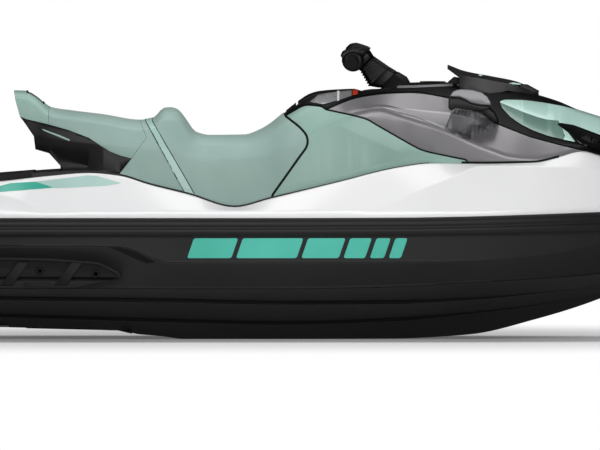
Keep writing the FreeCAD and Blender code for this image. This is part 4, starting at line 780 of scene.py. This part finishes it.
def bodyHalf(x, depth=0.0):
    rim = follow(deckLines, x, 4)
    values = [follow(bodyLines, x, k) for k in range(1, 9)]
    proud = follow(ledgeFold, x, 2) if not depth > 0 else 0.0
    waist, shoulder, crown = (values[1], values[2]), (values[3], values[4]), (values[5], values[6])
    foot = (values[0], rim - 20)
    low, high = [along(foot, waist, rim + lift, 0.02, most) for lift, most in ((22, 0.18), (25, 0.22))]
    fold = along(foot, waist, follow(panelFold, x), 0.34, 0.9)
    lid = along(waist, shoulder, follow(cowlFold, x), 0.25, 0.75)
    half = [(0, foot[1]), (foot[0] + proud, foot[1]), (low[0] + proud, low[1]), high,
            (fold[0] + follow(panelFold, x, 2), fold[1]), waist, (lid[0] - follow(cowlFold, x, 2), lid[1]),
            shoulder, crown, (0, values[7])]
    if depth:
        half = inset(half, depth)
    rounds = [follow(bodyRound, x, k) for k in (1, 2, 3)]
    half = rounded(half, [0, 1, 0.8, 0.8, 5, rounds[0], 3, rounds[1], rounds[2], 0], 4)
    return topRound(half)


bodySize = {"spacing": 16, "coreEnd": 3163, "wall": 12, "frame": 15, "recess": 4.5, "shallow": 1.6, "film": 1.6,
            "trim": 4.0, "trimFoot": 0.3, "snug": 0.5, "gap": 3.6, "cowlGap": 3.0, "lidGap": 3, "nose": 5}


def bodySkin(name, depth=0.0, first=0.0, last=math.inf):
    # the body form drawn in by a depth, between two stations
    stations = [x for x in bodyStations if first < x <= last]
    return sectionSkin(name, stations, lambda x: bodyHalf(x, depth))


bodyStations = stationsOf(bodyLines, bodySize["spacing"])
bodyForm = bodySkin("bodyForm")
coreForm = bodySkin("coreForm", bodySize["wall"], last=bodySize["coreEnd"])
deckLifted = duplicate(deckForm, "deckLifted")
deckLifted.data.transform(Matrix.Translation((0, 0, 0.0004)))
openBody = carve(duplicate(bodyForm, "openBody"), deckLifted, keep=True)
shellBody = carve(duplicate(openBody, "shellBody"), coreForm, keep=True)


def centreFrame():
    # the inner frame follows the panels from inside, with room for both bins; its rear edge follows the seat nose
    line = [(1608, 500), (1608, 600), (1672, 700), (1702, 736), (1702, 782), (1672, 816), (1634, 878), (1634, 1100),
            (3150, 1100), (3150, 400)]
    piece = bodySkin("centreFrame", bodySize["frame"], 1590, bodySize["coreEnd"])
    carve(piece, prism(line), how="INTERSECT")
    carve(piece, deckLifted, keep=True)
    return carve(piece, block(1702, 1850, -88, 88, 790, 1100), binBlock(470))


skinBody = carve(bodySkin("skinBody", -bodySize["film"]), bodyForm, keep=True)
dress(softEdges(centreFrame(), 2, 2), "hull", grainedBlack, "frame_black", "centre_frame")
recess = bodySkin("recess", bodySize["recess"])
shallow = bodySkin("shallow", bodySize["shallow"])
print("body form made")


def panel(name, source, outline, gap, corner=0.0):
    # the part of a shell inside an outline seen from the side, drawn in by a gap
    outline = drawnIn(outline, gap) if gap else outline
    if corner:
        outline = rounded(outline, corner, 4, closed=True)
    return carve(duplicate(source, name), prism(outline), how="INTERSECT")


snug = bodySize["snug"]
nose = rounded(seatNose, [0, 6, 30, 22, 22, 26, 5, 0], 5)
seatRearLine = [(700, 1100), (696, 893)] + cushionBase + [(1067, 773), (1041, 838), (1041, 1100)]
seatRear = panel("seatRear", openBody, seatRearLine, snug)
dress(softEdges(seatRear, 6, 4), "hull", mintVinyl, "seat_mint", "seat_rear")
seatFrontLine = seatJoint[::-1] + shifted(nose, bodySize["nose"])[::-1]
seatFront = panel("seatFront", openBody, seatFrontLine, snug)
dress(softEdges(seatFront, 6, 4), "hull", mintVinyl, "seat_mint", "seat_front")
strapLine = [(1052, 880), (1080, 880), (1091, 832), (1249, 556), (1214, 556), (1066, 832)]
strap = panel("seatStrap", skinBody, strapLine, 0)
dress(strap, "hull", strapVinyl, "seat_mint")
seams = [panel("strapSeams", skinBody, band(line, 3.4), 0)
         for line in ([(1052, 872), (1066, 832), (1214, 560)], [(1080, 872), (1091, 832), (1249, 560)])]
dress(merged("strapSeams", seams), "hull", rubberShade, "trim_black")
print("seats made")

tailLine = [(557, 960), (640, 960), (696, 893), (690, 823), (608, 842), (583, 852), (566, 912)]
handle = panel("grabHandle", openBody, tailLine, snug)
carve(handle, block(612, 672, -112, 112, 700, 1100))
dress(softEdges(handle, 6, 4), "hull", mintSatin, "panel_mint", "grab_handle")
liner = carve(duplicate(skinBody, "slotLiner"), block(608, 676, -116, 116, 860, 1100), how="INTERSECT")
carve(liner, block(613, 671, -111, 111, 800, 1100))
dress(liner, "hull", grainedBlack, "trim_black")
supportLine = [(583, 852), (608, 842)] + cushionBase + [
    (960, 630), (960, 560), (738, 560), (738, 664), (695, 712), (642, 727), (636, 777), (601, 828)]
support = panel("tailSupport", openBody, supportLine, 0.3)
carve(support, carve(prism([(700, 727), (842, 666), (734, 669)]), recess, keep=True))
dress(softEdges(support, 3, 2), "hull", smoothBlack, "trim_black", "tail_support")
slit = panel("tailSlit", skinBody, [(668, 806), (673, 799), (771, 760), (776, 764), (740, 780)], 0)
dress(slit, "hull", mintSatin, "panel_mint")

sideLine = [(x, z) for x, z in nose if z < 850] + [(1597, 856)] + rounded(panelTop, [0, 20, 14, 14, 10, 0], 3)[1:] + \
    rounded(cowlBase, [0, 40, 30, 20, 60, 40, 6, 0], 4)[1:-1] + [(2290, 470)]
sidePanels = panel("sidePanels", shellBody, sideLine, bodySize["gap"])
carve(sidePanels, block(1500, 2400, -40, 40, 400, 1100))
dress(softEdges(sidePanels, 2.0, 3), "hull", mintSatin, "panel_mint", "side_panels", sharp=26)
cowlLine = rounded(cowlTop, [0, 40, 60, 60, 0], 4) + hoodBase[1:] + [(2330, 500)] + \
    rounded(cowlBase, [0, 40, 30, 20, 60, 40, 6, 0], 4)[::-1][1:-1]
cowls = panel("upperCowls", shellBody, cowlLine, bodySize["cowlGap"])
carve(cowls, block(1700, 2800, -60, 60, 400, 1100))
recessLine = [(2247, 879), (2345, 871), (2403, 817), (2294, 762), (2204, 801), (2224, 856)]
carve(cowls, carve(prism(recessLine), shallow, keep=True))
dress(softEdges(cowls, 1.6, 3), "hull", flakeGrey, "cowl_grey", "upper_cowls", sharp=22)
recessFloor = carve(duplicate(shallow, "cowlRecess"), recess, keep=True)
carve(recessFloor, prism(drawnIn(recessLine, 0.4)), how="INTERSECT")
dress(recessFloor, "hull", flakeGreyPaintedShade, "cowl_grey")

# painted shade: a dark rubber strip that draws the shadow gap between the cowls and the deck
seal = carve(duplicate(skinBody, "cowlGapShade"), prism([(2268, 600), (2268, 760), (2560, 760), (2640, 730), (2640, 600)]),
             how="INTERSECT")
raisedDeck = duplicate(deckForm, "raisedDeck")
raisedDeck.data.transform(Matrix.Translation((0, 0, 0.008)))
carve(carve(seal, raisedDeck, how="INTERSECT"), deckForm, keep=True)
dress(seal, "hull", rubberShade, "trim_black")

consoleLine = [(1591, 1100), (1597, 856)] + panelTop[1:] + cowlTop[1:] + [(2240, 1100)]
console = panel("consoleTop", shellBody, consoleLine, bodySize["lidGap"])
carve(console, block(1638, 1874, -115, 115, 870, 1100))
dress(softEdges(console, 2.5, 3), "hull", grainedBlack, "trim_black", "console")
lid = carve(duplicate(shellBody, "gloveboxLid"), block(1645, 1867, -108, 108, 880, 1100), how="INTERSECT")
dress(softEdges(lid, 4, 3), "glovebox_door", smoothBlack, "trim_black", "glovebox_lid")
hoodLine = [(2246, 1100)] + hoodBase[:-1] + [(2745, 560), (3180, 420), (3180, 1100)]
hood = panel("frontHood", shellBody, hoodLine, bodySize["lidGap"])
deckLifted.data.transform(Matrix.Translation((0, 0, 0.0046)))
carve(hood, deckLifted)
dress(softEdges(hood, 2.5, 3), "front_hood", smoothBlack, "hood_black", "hood")
print("panels made")

# rubber behind the shut lines, a little under the surface
gasket = carve(duplicate(recess, "shutLineRubber"), coreForm, keep=True)
gasketParts = []
for line in (nose, [(1597, 856)] + panelTop[1:] + cowlBase[1:-1], cowlTop + [(2250, 914)], hoodBase[:-1],
             [(2234, 912), (2242, 960), (2243, 1000)], [(1041, 838), (1067, 773), (962, 636)]):
    gasketParts.append(carve(duplicate(gasket, "strip"), prism(band(line, 17)), how="INTERSECT"))
dress(merged("shutLineRubber", gasketParts), "hull", rubberShade, "trim_black")
bpy.data.objects.remove(gasket)

# the hood's accents and inserts stand a little proud; below the crease the accents turn down and are painted darker as
# shade
accentLine = [(2415, 908), (2420, 914), (2438, 918), (2509, 916), (2579, 907), (2657, 893), (2735, 873), (2801, 852),
              (2950, 808), (3050, 768), (3020, 742), (2900, 757), (2801, 782), (2755, 799), (2696, 821), (2645, 829),
              (2633, 825), (2676, 793), (2704, 756), (2657, 766), (2598, 780), (2540, 801), (2493, 825), (2454, 852),
              (2423, 887)]
insertLine = [(2640, 820), (2646, 825), (2697, 817), (2755, 795), (2801, 778), (2900, 752), (3015, 737), (2960, 700),
              (2800, 720), (2720, 752), (2708, 762), (2680, 795)]
accentShadeOutline = [(2400, 908), (2419, 906), (2501, 872), (2560, 851), (2594, 842), (2640, 838), (2652, 812), (2664, 780),
                (2640, 740), (2400, 740)]
trimShell = carve(bodySkin("trimOuter", -bodySize["trim"]), bodySkin("trimInner", -bodySize["trimFoot"]))
for name, line, node, material, slot in (
        ("hoodAccents", accentLine, "hood_accents", mintGloss, "accent_mint"),
        ("hoodInserts", insertLine, "hood_inserts", pianoBlack, "insert_black")):
    piece = panel(name, trimShell, line, 0.6, 6 if name == "hoodAccents" else 0)
    carve(piece, block(2300, 3300, -60, 60, 400, 1100))
    if name == "hoodAccents":
        # painted shade: the accent below the crease takes the darker copy
        lower = carve(duplicate(piece, "accentLowerShade"), prism(accentShadeOutline), how="INTERSECT")
        carve(piece, prism(accentShadeOutline))
        dress(softEdges(lower, 1.5, 2), "front_hood", mintPaintedShade, slot)
    dress(softEdges(piece, 1.5, 2), "front_hood", material, slot, node)
gaugeFace = carve(duplicate(trimShell, "gaugeFace"), block(2112, 2210, -90, 90, 960, 1100), how="INTERSECT")
dress(softEdges(gaugeFace, 1.5, 2), "hull", pianoBlack, "gauge_black", "gauge")
# small inlays, painted highlights and a painted reflection that lie on the body: outline, body, material, slot
highlightsAndInlays = {
    # painted highlights along the console's and hood's top edges
    "consoleEdgeHighlight": (band([(2024, 966), (2100, 968), (2236, 974)], 9), "hull", edgeHighlightGrey, "trim_black"),
    "hoodEdgeHighlight": (band([(2253, 974), (2341, 972), (2420, 968), (2490, 964)], 8), "front_hood", edgeHighlightGrey,
                   "trim_black"),
    "consoleCheek": ([(1690, 909), (1740, 900), (1796, 914), (1850, 932), (1850, 953), (1796, 948), (1724, 936)],
                     "hull", silverPaint, "trim_black"),
    # painted highlight: a white strip on the glovebox's side
    "consoleHighlight": ([(1795, 912), (1803, 915), (1803, 951), (1795, 950)], "hull", paintedHighlightWhite, "trim_black"),
    "lidLatch": ([(1853, 934), (1873, 938), (1876, 957), (1855, 958)], "hull", redPlastic, "trim_black"),
    # painted reflection: a grey patch on the black insert
    "insertPaintedReflection": ([(2719, 774), (2752, 783), (2800, 758), (2800, 747), (2765, 752)], "front_hood", deflectorGrey,
                    "trim_black"),
    # painted highlight: a proud film of pale lacquer on the cowl's upper wedge
    "cowlWedgeHighlight": ([(1956, 891), (1990, 889), (2228, 869), (2218, 838), (2201, 807), (2100, 852)], "hull",
                  flakeGreyPaintedLight, "cowl_grey"),
}
for name, (line, body, material, slot) in highlightsAndInlays.items():
    source = trimShell if name in ("insertPaintedReflection", "consoleHighlight", "lidLatch") else skinBody
    piece = carve(duplicate(source, name), prism(line), how="INTERSECT")
    if name in ("lidLatch", "consoleHighlight"):
        carve(piece, block(1700, 1900, -100, 100, 800, 1100))
    dress(piece, body, material, slot)
for spare in (trimShell, skinBody, coreForm, bodyForm, openBody, shellBody, deckForm, recess, shallow):
    bpy.data.objects.remove(spare)
print("hood trim made")


# steering, built along its sloping column
barSize = {"columnX": 2006, "columnZ": 1003, "radius": 11, "grip": 18, "housing": 42, "gripStart": 274, "end": 397}


def steer(x, y, z):
    # x ahead of the column, y to port, z up along it; the column slopes at 45 degrees
    lean = math.sqrt(0.5)
    return (barSize["columnX"] + lean * (x - z), y, barSize["columnZ"] + lean * (x + z))


def stack(name, levels):
    # a chunky block up the column: height, rear x, front x, half width
    rings = []
    for z, x0, x1, half in levels:
        cut = min(half, (x1 - x0) / 2) * 0.35
        near = half - cut
        corners = [(x0, -near), (x0 + cut, -half), (x1 - cut, -half), (x1, -near), (x1, near), (x1 - cut, half),
                   (x0 + cut, half), (x0, near)]
        rings.append([steer(x, y, z) for x, y in corners])
    return skinPiece(name, rings)


def turned(name, start, end, profile, sides=32):
    # a round body about the line from start to end: distance along, radius
    bm = bmesh.new()
    verts = [bm.verts.new((r / 1000, 0, t / 1000)) for t, r in profile]
    edges = [bm.edges.new(pair) for pair in zip(verts, verts[1:])]
    bmesh.ops.spin(bm, geom=verts + edges, cent=(0, 0, 0), axis=(0, 0, 1), angle=math.tau, steps=sides)
    bmesh.ops.remove_doubles(bm, verts=bm.verts, dist=2e-5)
    bmesh.ops.holes_fill(bm, edges=[e for e in bm.edges if e.is_boundary], sides=0)
    bmesh.ops.recalc_face_normals(bm, faces=bm.faces)
    foot, head = place(*start), place(*end)
    turn = (head - foot).to_track_quat("Z", "Y").to_matrix().to_4x4()
    bmesh.ops.transform(bm, matrix=Matrix.Translation(foot) @ turn, verts=bm.verts)
    return toObject(name, bm)


def alongBar(y, ahead=0.0, up=0.0):
    # the bar's outer length at any distance from the middle, or a place beside it
    share = (y - 200) / 195
    return steer(-58 - 14 * share + ahead, y, 151 + 2 * share + up)


# a ribbed rubber neck that narrows below so that it clears the console at full lock
levels = [(0.8, -60, 27, 38), (10, -68, 26, 38), (24, -78, 22, 38)]
for k in range(7):
    levels += [(34 + k * 11, -84 + k * 2.8, 20 - k * 2.0, 40), (40 + k * 11, -92 + k * 3.2, 18 - k * 2.0, 42)]
levels += [(110, -68, 7, 48), (134, -72, 12, 52)]
dress(softEdges(stack("barNeck", levels), 3, 2), "steering", smoothBlack, "trim_black", "bar_neck")
fairingLine = [(1876, 940), (1896, 952), (1925, 956), (1955, 957), (1990, 962), (2040, 962), (2040, 935), (1880, 930)]
fairing = prism(fairingLine, -72, 72, "neckFairing")
dress(softEdges(fairing, 5, 3), "hull", grainedBlack, "trim_black")
padLevels = [(134.5, -72, 17, 88), (150, -72, 13, 90), (176, -68, 0, 84), (196, -58, -12, 66), (204, -48, -26, 46)]
dress(softEdges(stack("barPad", padLevels), 7, 4), "steering", grainedBlack, "trim_black", "bar_pad")
plate = stack("padPlate", [(136, 8, 20.5, 74), (150, 4, 16.5, 74), (176, -8, 3.5, 66), (192, -18, -6, 52)])
dress(softEdges(plate, 2.5, 3), "steering", deflectorGrey, "trim_black")
base = stack("steeringBase", [(-110, -84, 22, 78), (-62, -78, 34, 70), (-40, -76, 40, 64), (-0.8, -66, 30, 50)])
dress(softEdges(base, 4, 3), "hull", grainedBlack, "trim_black", "steering_base")
dress(stack("neckSeal", [(-5, -62, 29, 40), (0.5, -62, 29, 40)]), "hull", rubberShade, "trim_black")
halfBar = [steer(-38, 0, 146), steer(-40, 70, 147), steer(-48, 130, 149)] + [alongBar(y) for y in (200, 300, 392)]
wholeBar = [(x, -y, z) for x, y, z in halfBar[:0:-1]] + halfBar
dress(tube("handlebar", wholeBar, barSize["radius"], 20), "steering", powderBlack, "bar_steel", "handlebar")
r = barSize["grip"]
ribs = []
for k in range(12):
    ribs += [(8 + k * 9, r), (12 + k * 9, r), (13 + k * 9, r - 1.2), (16 + k * 9, r - 1.2)]
gripProfile = [(0, r + 8), (5, r + 8), (6, r)] + ribs + [
    (116, r), (116, r + 4), (123, r + 4), (123, r - 5), (120, r - 5), (120, 0)]
grip = turned("grips", alongBar(barSize["gripStart"]), alongBar(barSize["end"]), gripProfile)
dress(mirrorPair("grips", grip), "steering", rubberGrip, "grip_rubber", "grips")
h = barSize["housing"]
pod = turned("pod", alongBar(212), alongBar(270), [(0, 22), (3, h - 6), (9, h), (44, h), (52, h - 5), (56, 26)])
switches = skinPiece("switches", [
    [alongBar(y, x, z) for x, z in ((-10, 14), (-24, 44), (-4, 52), (34, 38), (62, 4), (44, -12))] for y in (206, 262)])
pods = mirrorPair("leverHousings", merged("leverHousings", [softEdges(pod, 4, 3), softEdges(switches, 6, 3)]))
dress(pods, "steering", smoothBlack, "trim_black", "lever_housings")
leverLine = [alongBar(246, 44, -4), alongBar(272, 58, -5), alongBar(300, 66, -5), alongBar(340, 68, -4),
             alongBar(378, 64, -3), alongBar(388, 61, -3)]
lever = tube("levers", rounded(leverLine, 14, 3), 6, 16)
dress(mirrorPair("levers", lever), "steering", powderBlack, "bar_steel", "levers")
print("steering made")

# mirrors: a lacquered cap over a black body on a short arm
capLine = [(2228, 932), (2230, 937), (2239, 949.5), (2253, 956), (2270, 959), (2313, 957), (2352, 946), (2372, 930),
           (2384, 910), (2384, 899), (2345, 901), (2309, 908.6), (2286, 922), (2267, 930)]
mirrorSize = {"capBack": 5, "podBack": 4, "inner": 352, "outer": 450, "pocketInner": 356, "pocketOuter": 436}
cap = prism([(x - mirrorSize["capBack"], z) for x, z in capLine], mirrorSize["inner"], mirrorSize["outer"], "mirrorCap")
softEdges(cap, 12, 5, angle=20)
pocket = [(2200, 889), (2229, 889), (2229, 930), (2200, 930)]
carve(cap, prism(pocket, mirrorSize["pocketInner"], mirrorSize["pocketOuter"]))
dress(mirrorPair("mirrorCaps", cap), "front_hood", flakeCap, "cowl_grey", "mirror_housings", sharp=60)
podLine = [(2223, 928), (2266, 926), (2285, 918), (2308, 905), (2345, 898), (2380, 896), (2380, 888), (2352, 876),
           (2294, 880), (2252, 887), (2240, 883), (2231, 876), (2222, 886)]
podBody = softEdges(prism([(x - mirrorSize["podBack"], z) for x, z in podLine], 346, 444, "mirrorPod"), 5, 3)
carve(podBody, prism(pocket, mirrorSize["pocketInner"], mirrorSize["pocketOuter"]))
armLine = [(2300, 900), (2370, 894), (2396, 872), (2414, 834), (2392, 832), (2345, 868), (2300, 880)]
arm = softEdges(prism(armLine, 300, 400, "mirrorArm"), 8, 3)
dress(mirrorPair("mirrorPods", merged("mirrorPods", [podBody, arm])), "front_hood", smoothBlack, "trim_black",
      "mirror_housings")
glass = prism([(2224, 890), (2227.5, 890), (2227.5, 929), (2224, 929)], 357, 435, "mirrorGlass")
dress(mirrorPair("mirrorGlass", softEdges(glass, 1, 2)), "front_hood", silverGlass, "mirror_glass", "mirror_glasses")
print("mirrors made")

# sponsons: a rimmed foil with slanted ribs, a slot and two ring bolts each
foilLine = [(182, 206), (505, 204), (798, 205), (886, 225), (959, 235), (978, 247), (959, 269), (920, 288), (886, 303),
            (710, 317), (505, 321), (182, 318)]
foil = prism(foilLine, 470, 613, "foil")
carve(foil, prism(rounded(drawnIn(foilLine, 9), 6, 3, closed=True), 600, 660))
carve(foil, prism([(150, 232), (975, 233), (960, 246), (150, 249)], 572, 660))
pieces = [softEdges(foil, 2.5, 2)]
for x in (308, 512, 717):
    ribLine = [(x + 68, 303), (x + 112, 303), (x + 48, 214), (x + 2, 214)]
    pieces.append(softEdges(prism(rounded(ribLine, 8, 3, closed=True), 560, 612, "rib"), 2.5, 2))
pieces.append(softEdges(prism([(603, 210), (607, 224), (702, 224), (706, 210)], 596, 613.5, "rib"), 2, 2))
for x, z in ((259, 274), (462, 272), (665, 269), (877, 259)):
    boltProfile = [(0, 15), (18, 15), (20, 13), (20, 9), (10, 8), (10, 0)]
    pieces.append(turned("bolt", (x, 590, z), (x, 612, z), boltProfile, 24))
dress(mirrorPair("sponsons", merged("sponsons", pieces)), "hull", grainedBlack, "trim_black", "sponsons", sharp=30)
print("sponsons made")

# deflector trims
bracket = prism([(2219, 983), (2243, 1003), (2262, 1000), (2270, 974), (2222, 974)], 40, 120, "bracket")
dress(mirrorPair("deflectorBracket", softEdges(bracket, 4, 3)), "front_hood", grainedBlack, "trim_black")
for name, line, half, material, slot in (
        ("deflectorNose", [(2490, 976), (2524, 974), (2568, 950), (2562, 935), (2508, 942)], 78, smoothBlack,
         "trim_black"),
        # painted highlight: a mint glint along the deflector's top edge
        ("deflectorPaintedGlint", [(2446, 979), (2470, 982), (2500, 977), (2490, 973), (2450, 976)], 96, mintGloss,
         "accent_mint"),
        ("deflectorMark", [(2333, 1010), (2343, 1014), (2353, 1010), (2343, 1006)], 112, mintGloss, "accent_mint")):
    dress(softEdges(prism(line, -half, half, name), 1.5, 2), "front_hood", material, slot)

# small CAD pieces
# copied with softened edges: node, body, material, slot, edge width, angle under which faces are joined
copies = [
    ("wind_deflector", "front_hood", deflectorGrey, "trim_black", 3, 0),
    ("footwell_mats", "hull", foamGrooved, "mat_foam", 1.5, 1),
    ("boarding_step", "step", stainless, "step_steel", 2, 0),
]
for node, body, material, slot, width, flat in copies:
    piece = copyNode(node)
    dress(softEdges(piece, width, 3, flat=flat, merge=0.05), body, material, slot, node, sharp=30)
# shown as they are, with a material of this scene
kept = {
    "front_bin": grainedBlack, "glovebox_tub": grainedBlack, "hood_hinges": darkAlloy,
    "pump_housing": castAlloy, "impeller": stainless, "drive_shaft": stainless,
    "steering_nozzle": castAlloy, "reverse_bucket": smoothBlack, "bucket_brackets": castAlloy, "ride_plate": darkAlloy,
    "intake_grate": stainless, "bow_eye": stainless, "stern_eyes": stainless, "tow_eye": stainless,
    "step_hinges": stainless, "engine": darkAlloy,
}
for node, material in kept.items():
    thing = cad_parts[node]
    thing.data.materials.clear()
    thing.data.materials.append(material)
print("small pieces made")


# floor, light and camera
paperSize = {"half": 30, "near": 1.1, "far": 3.6, "nearGlow": 0.12}


def stage():
    # white paper: matt, and lifted for the camera so that only the soft shadow under the craft shows
    paper = bpy.data.materials.new("paper_white_matt")
    paper.use_nodes = True
    tree = paper.node_tree
    shader = tree.nodes["Principled BSDF"]
    spot = addNode(tree, "ShaderNodeTexCoord").outputs["Object"]
    fibre = addNode(tree, "ShaderNodeTexNoise", {"Vector": spot, "Scale": 6.0, "Detail": 3.0})
    tone = addNode(tree, "ShaderNodeMapRange", {"Value": fibre.outputs["Fac"], 3: 0.93, 4: 0.97})
    tree.links.new(tone.outputs["Result"], shader.inputs["Base Color"])
    shader.inputs["Roughness"].default_value = 0.9
    shader.inputs["Specular IOR Level"].default_value = 0.1
    glow = addNode(tree, "ShaderNodeEmission", {"Color": (1, 1, 1, 1), "Strength": 1.0})
    ray = addNode(tree, "ShaderNodeLightPath")
    away = addNode(tree, "ShaderNodeVectorMath", {0: spot, 1: (0, 0, -1)}, operation="DISTANCE")
    fade = addNode(tree, "ShaderNodeMapRange", {"Value": away.outputs["Value"], 1: paperSize["near"],
                                                2: paperSize["far"], 3: paperSize["nearGlow"], 4: 1.0},
                   interpolation_type="SMOOTHSTEP")
    share = addNode(tree, "ShaderNodeMath", {0: ray.outputs["Is Camera Ray"], 1: fade.outputs["Result"]},
                    operation="MULTIPLY")
    mixed = addNode(tree, "ShaderNodeMixShader", {0: share.outputs["Value"], 1: shader.outputs["BSDF"],
                                                  2: glow.outputs["Emission"]})
    tree.links.new(mixed.outputs["Shader"], tree.nodes["Material Output"].inputs["Surface"])
    bm = bmesh.new()
    bmesh.ops.create_grid(bm, x_segments=1, y_segments=1, size=paperSize["half"])
    bmesh.ops.translate(bm, verts=bm.verts, vec=place(1650, 0, -1))
    floor = toObject("floor", bm)
    floor.data.materials.append(paper)


stage()
light = {"world": 0.48, "top": 100, "front": 180, "frontHeight": 1500, "aim": (1650, 0, 500)}
world = bpy.data.worlds.new("studio")
world.use_nodes = True
bpy.context.scene.world = world
wt = world.node_tree
background = wt.nodes["Background"]
background.inputs["Strength"].default_value = light["world"]
plain = addNode(wt, "ShaderNodeBackground", {"Color": (1, 1, 1, 1), "Strength": 1.0})
ray = addNode(wt, "ShaderNodeLightPath")
blendBg = addNode(wt, "ShaderNodeMixShader", {0: ray.outputs["Is Camera Ray"], 1: background.outputs["Background"],
                                              2: plain.outputs["Background"]})
wt.links.new(blendBg.outputs["Shader"], wt.nodes["World Output"].inputs["Surface"])


def lamp(name, x, y, z, size, energy):
    # a soft rectangle that faces the craft; place in mm, size in m
    source = bpy.data.lights.new(name, "AREA")
    source.shape = "RECTANGLE"
    source.size, source.size_y = size
    source.energy = energy
    thing = bpy.data.objects.new(name, source)
    bpy.context.scene.collection.objects.link(thing)
    thing.location = place(x, y, z)
    thing.rotation_euler = (place(*light["aim"]) - thing.location).to_track_quat("-Z", "Y").to_euler()


lamp("topSoft", 1650, -300, 4200, (5.0, 2.2), light["top"])
lamp("frontSoft", 1650, -5200, light["frontHeight"], (6.0, 1.6), light["front"])

shot = {"distance": 80.0, "width": 2.296, "x": 1653, "z": 436, "azimuth": 0.0, "elevation": 0.8}
camData = bpy.data.cameras.new("shot")
camData.sensor_width = 36
camData.lens = 36 * shot["distance"] / shot["width"]
camData.clip_end = 100
cam = bpy.data.objects.new("shot", camData)
bpy.context.scene.collection.objects.link(cam)
a, e = math.radians(shot["azimuth"]), math.radians(shot["elevation"])
target = place(shot["x"], 0, shot["z"])
cam.location = target + Vector((-math.sin(a) * math.cos(e), -math.cos(a) * math.cos(e), math.sin(e))) * shot["distance"]
cam.rotation_euler = (target - cam.location).to_track_quat("-Z", "Y").to_euler()
bpy.context.scene.camera = cam
bpy.context.scene.view_settings.view_transform = "Standard"
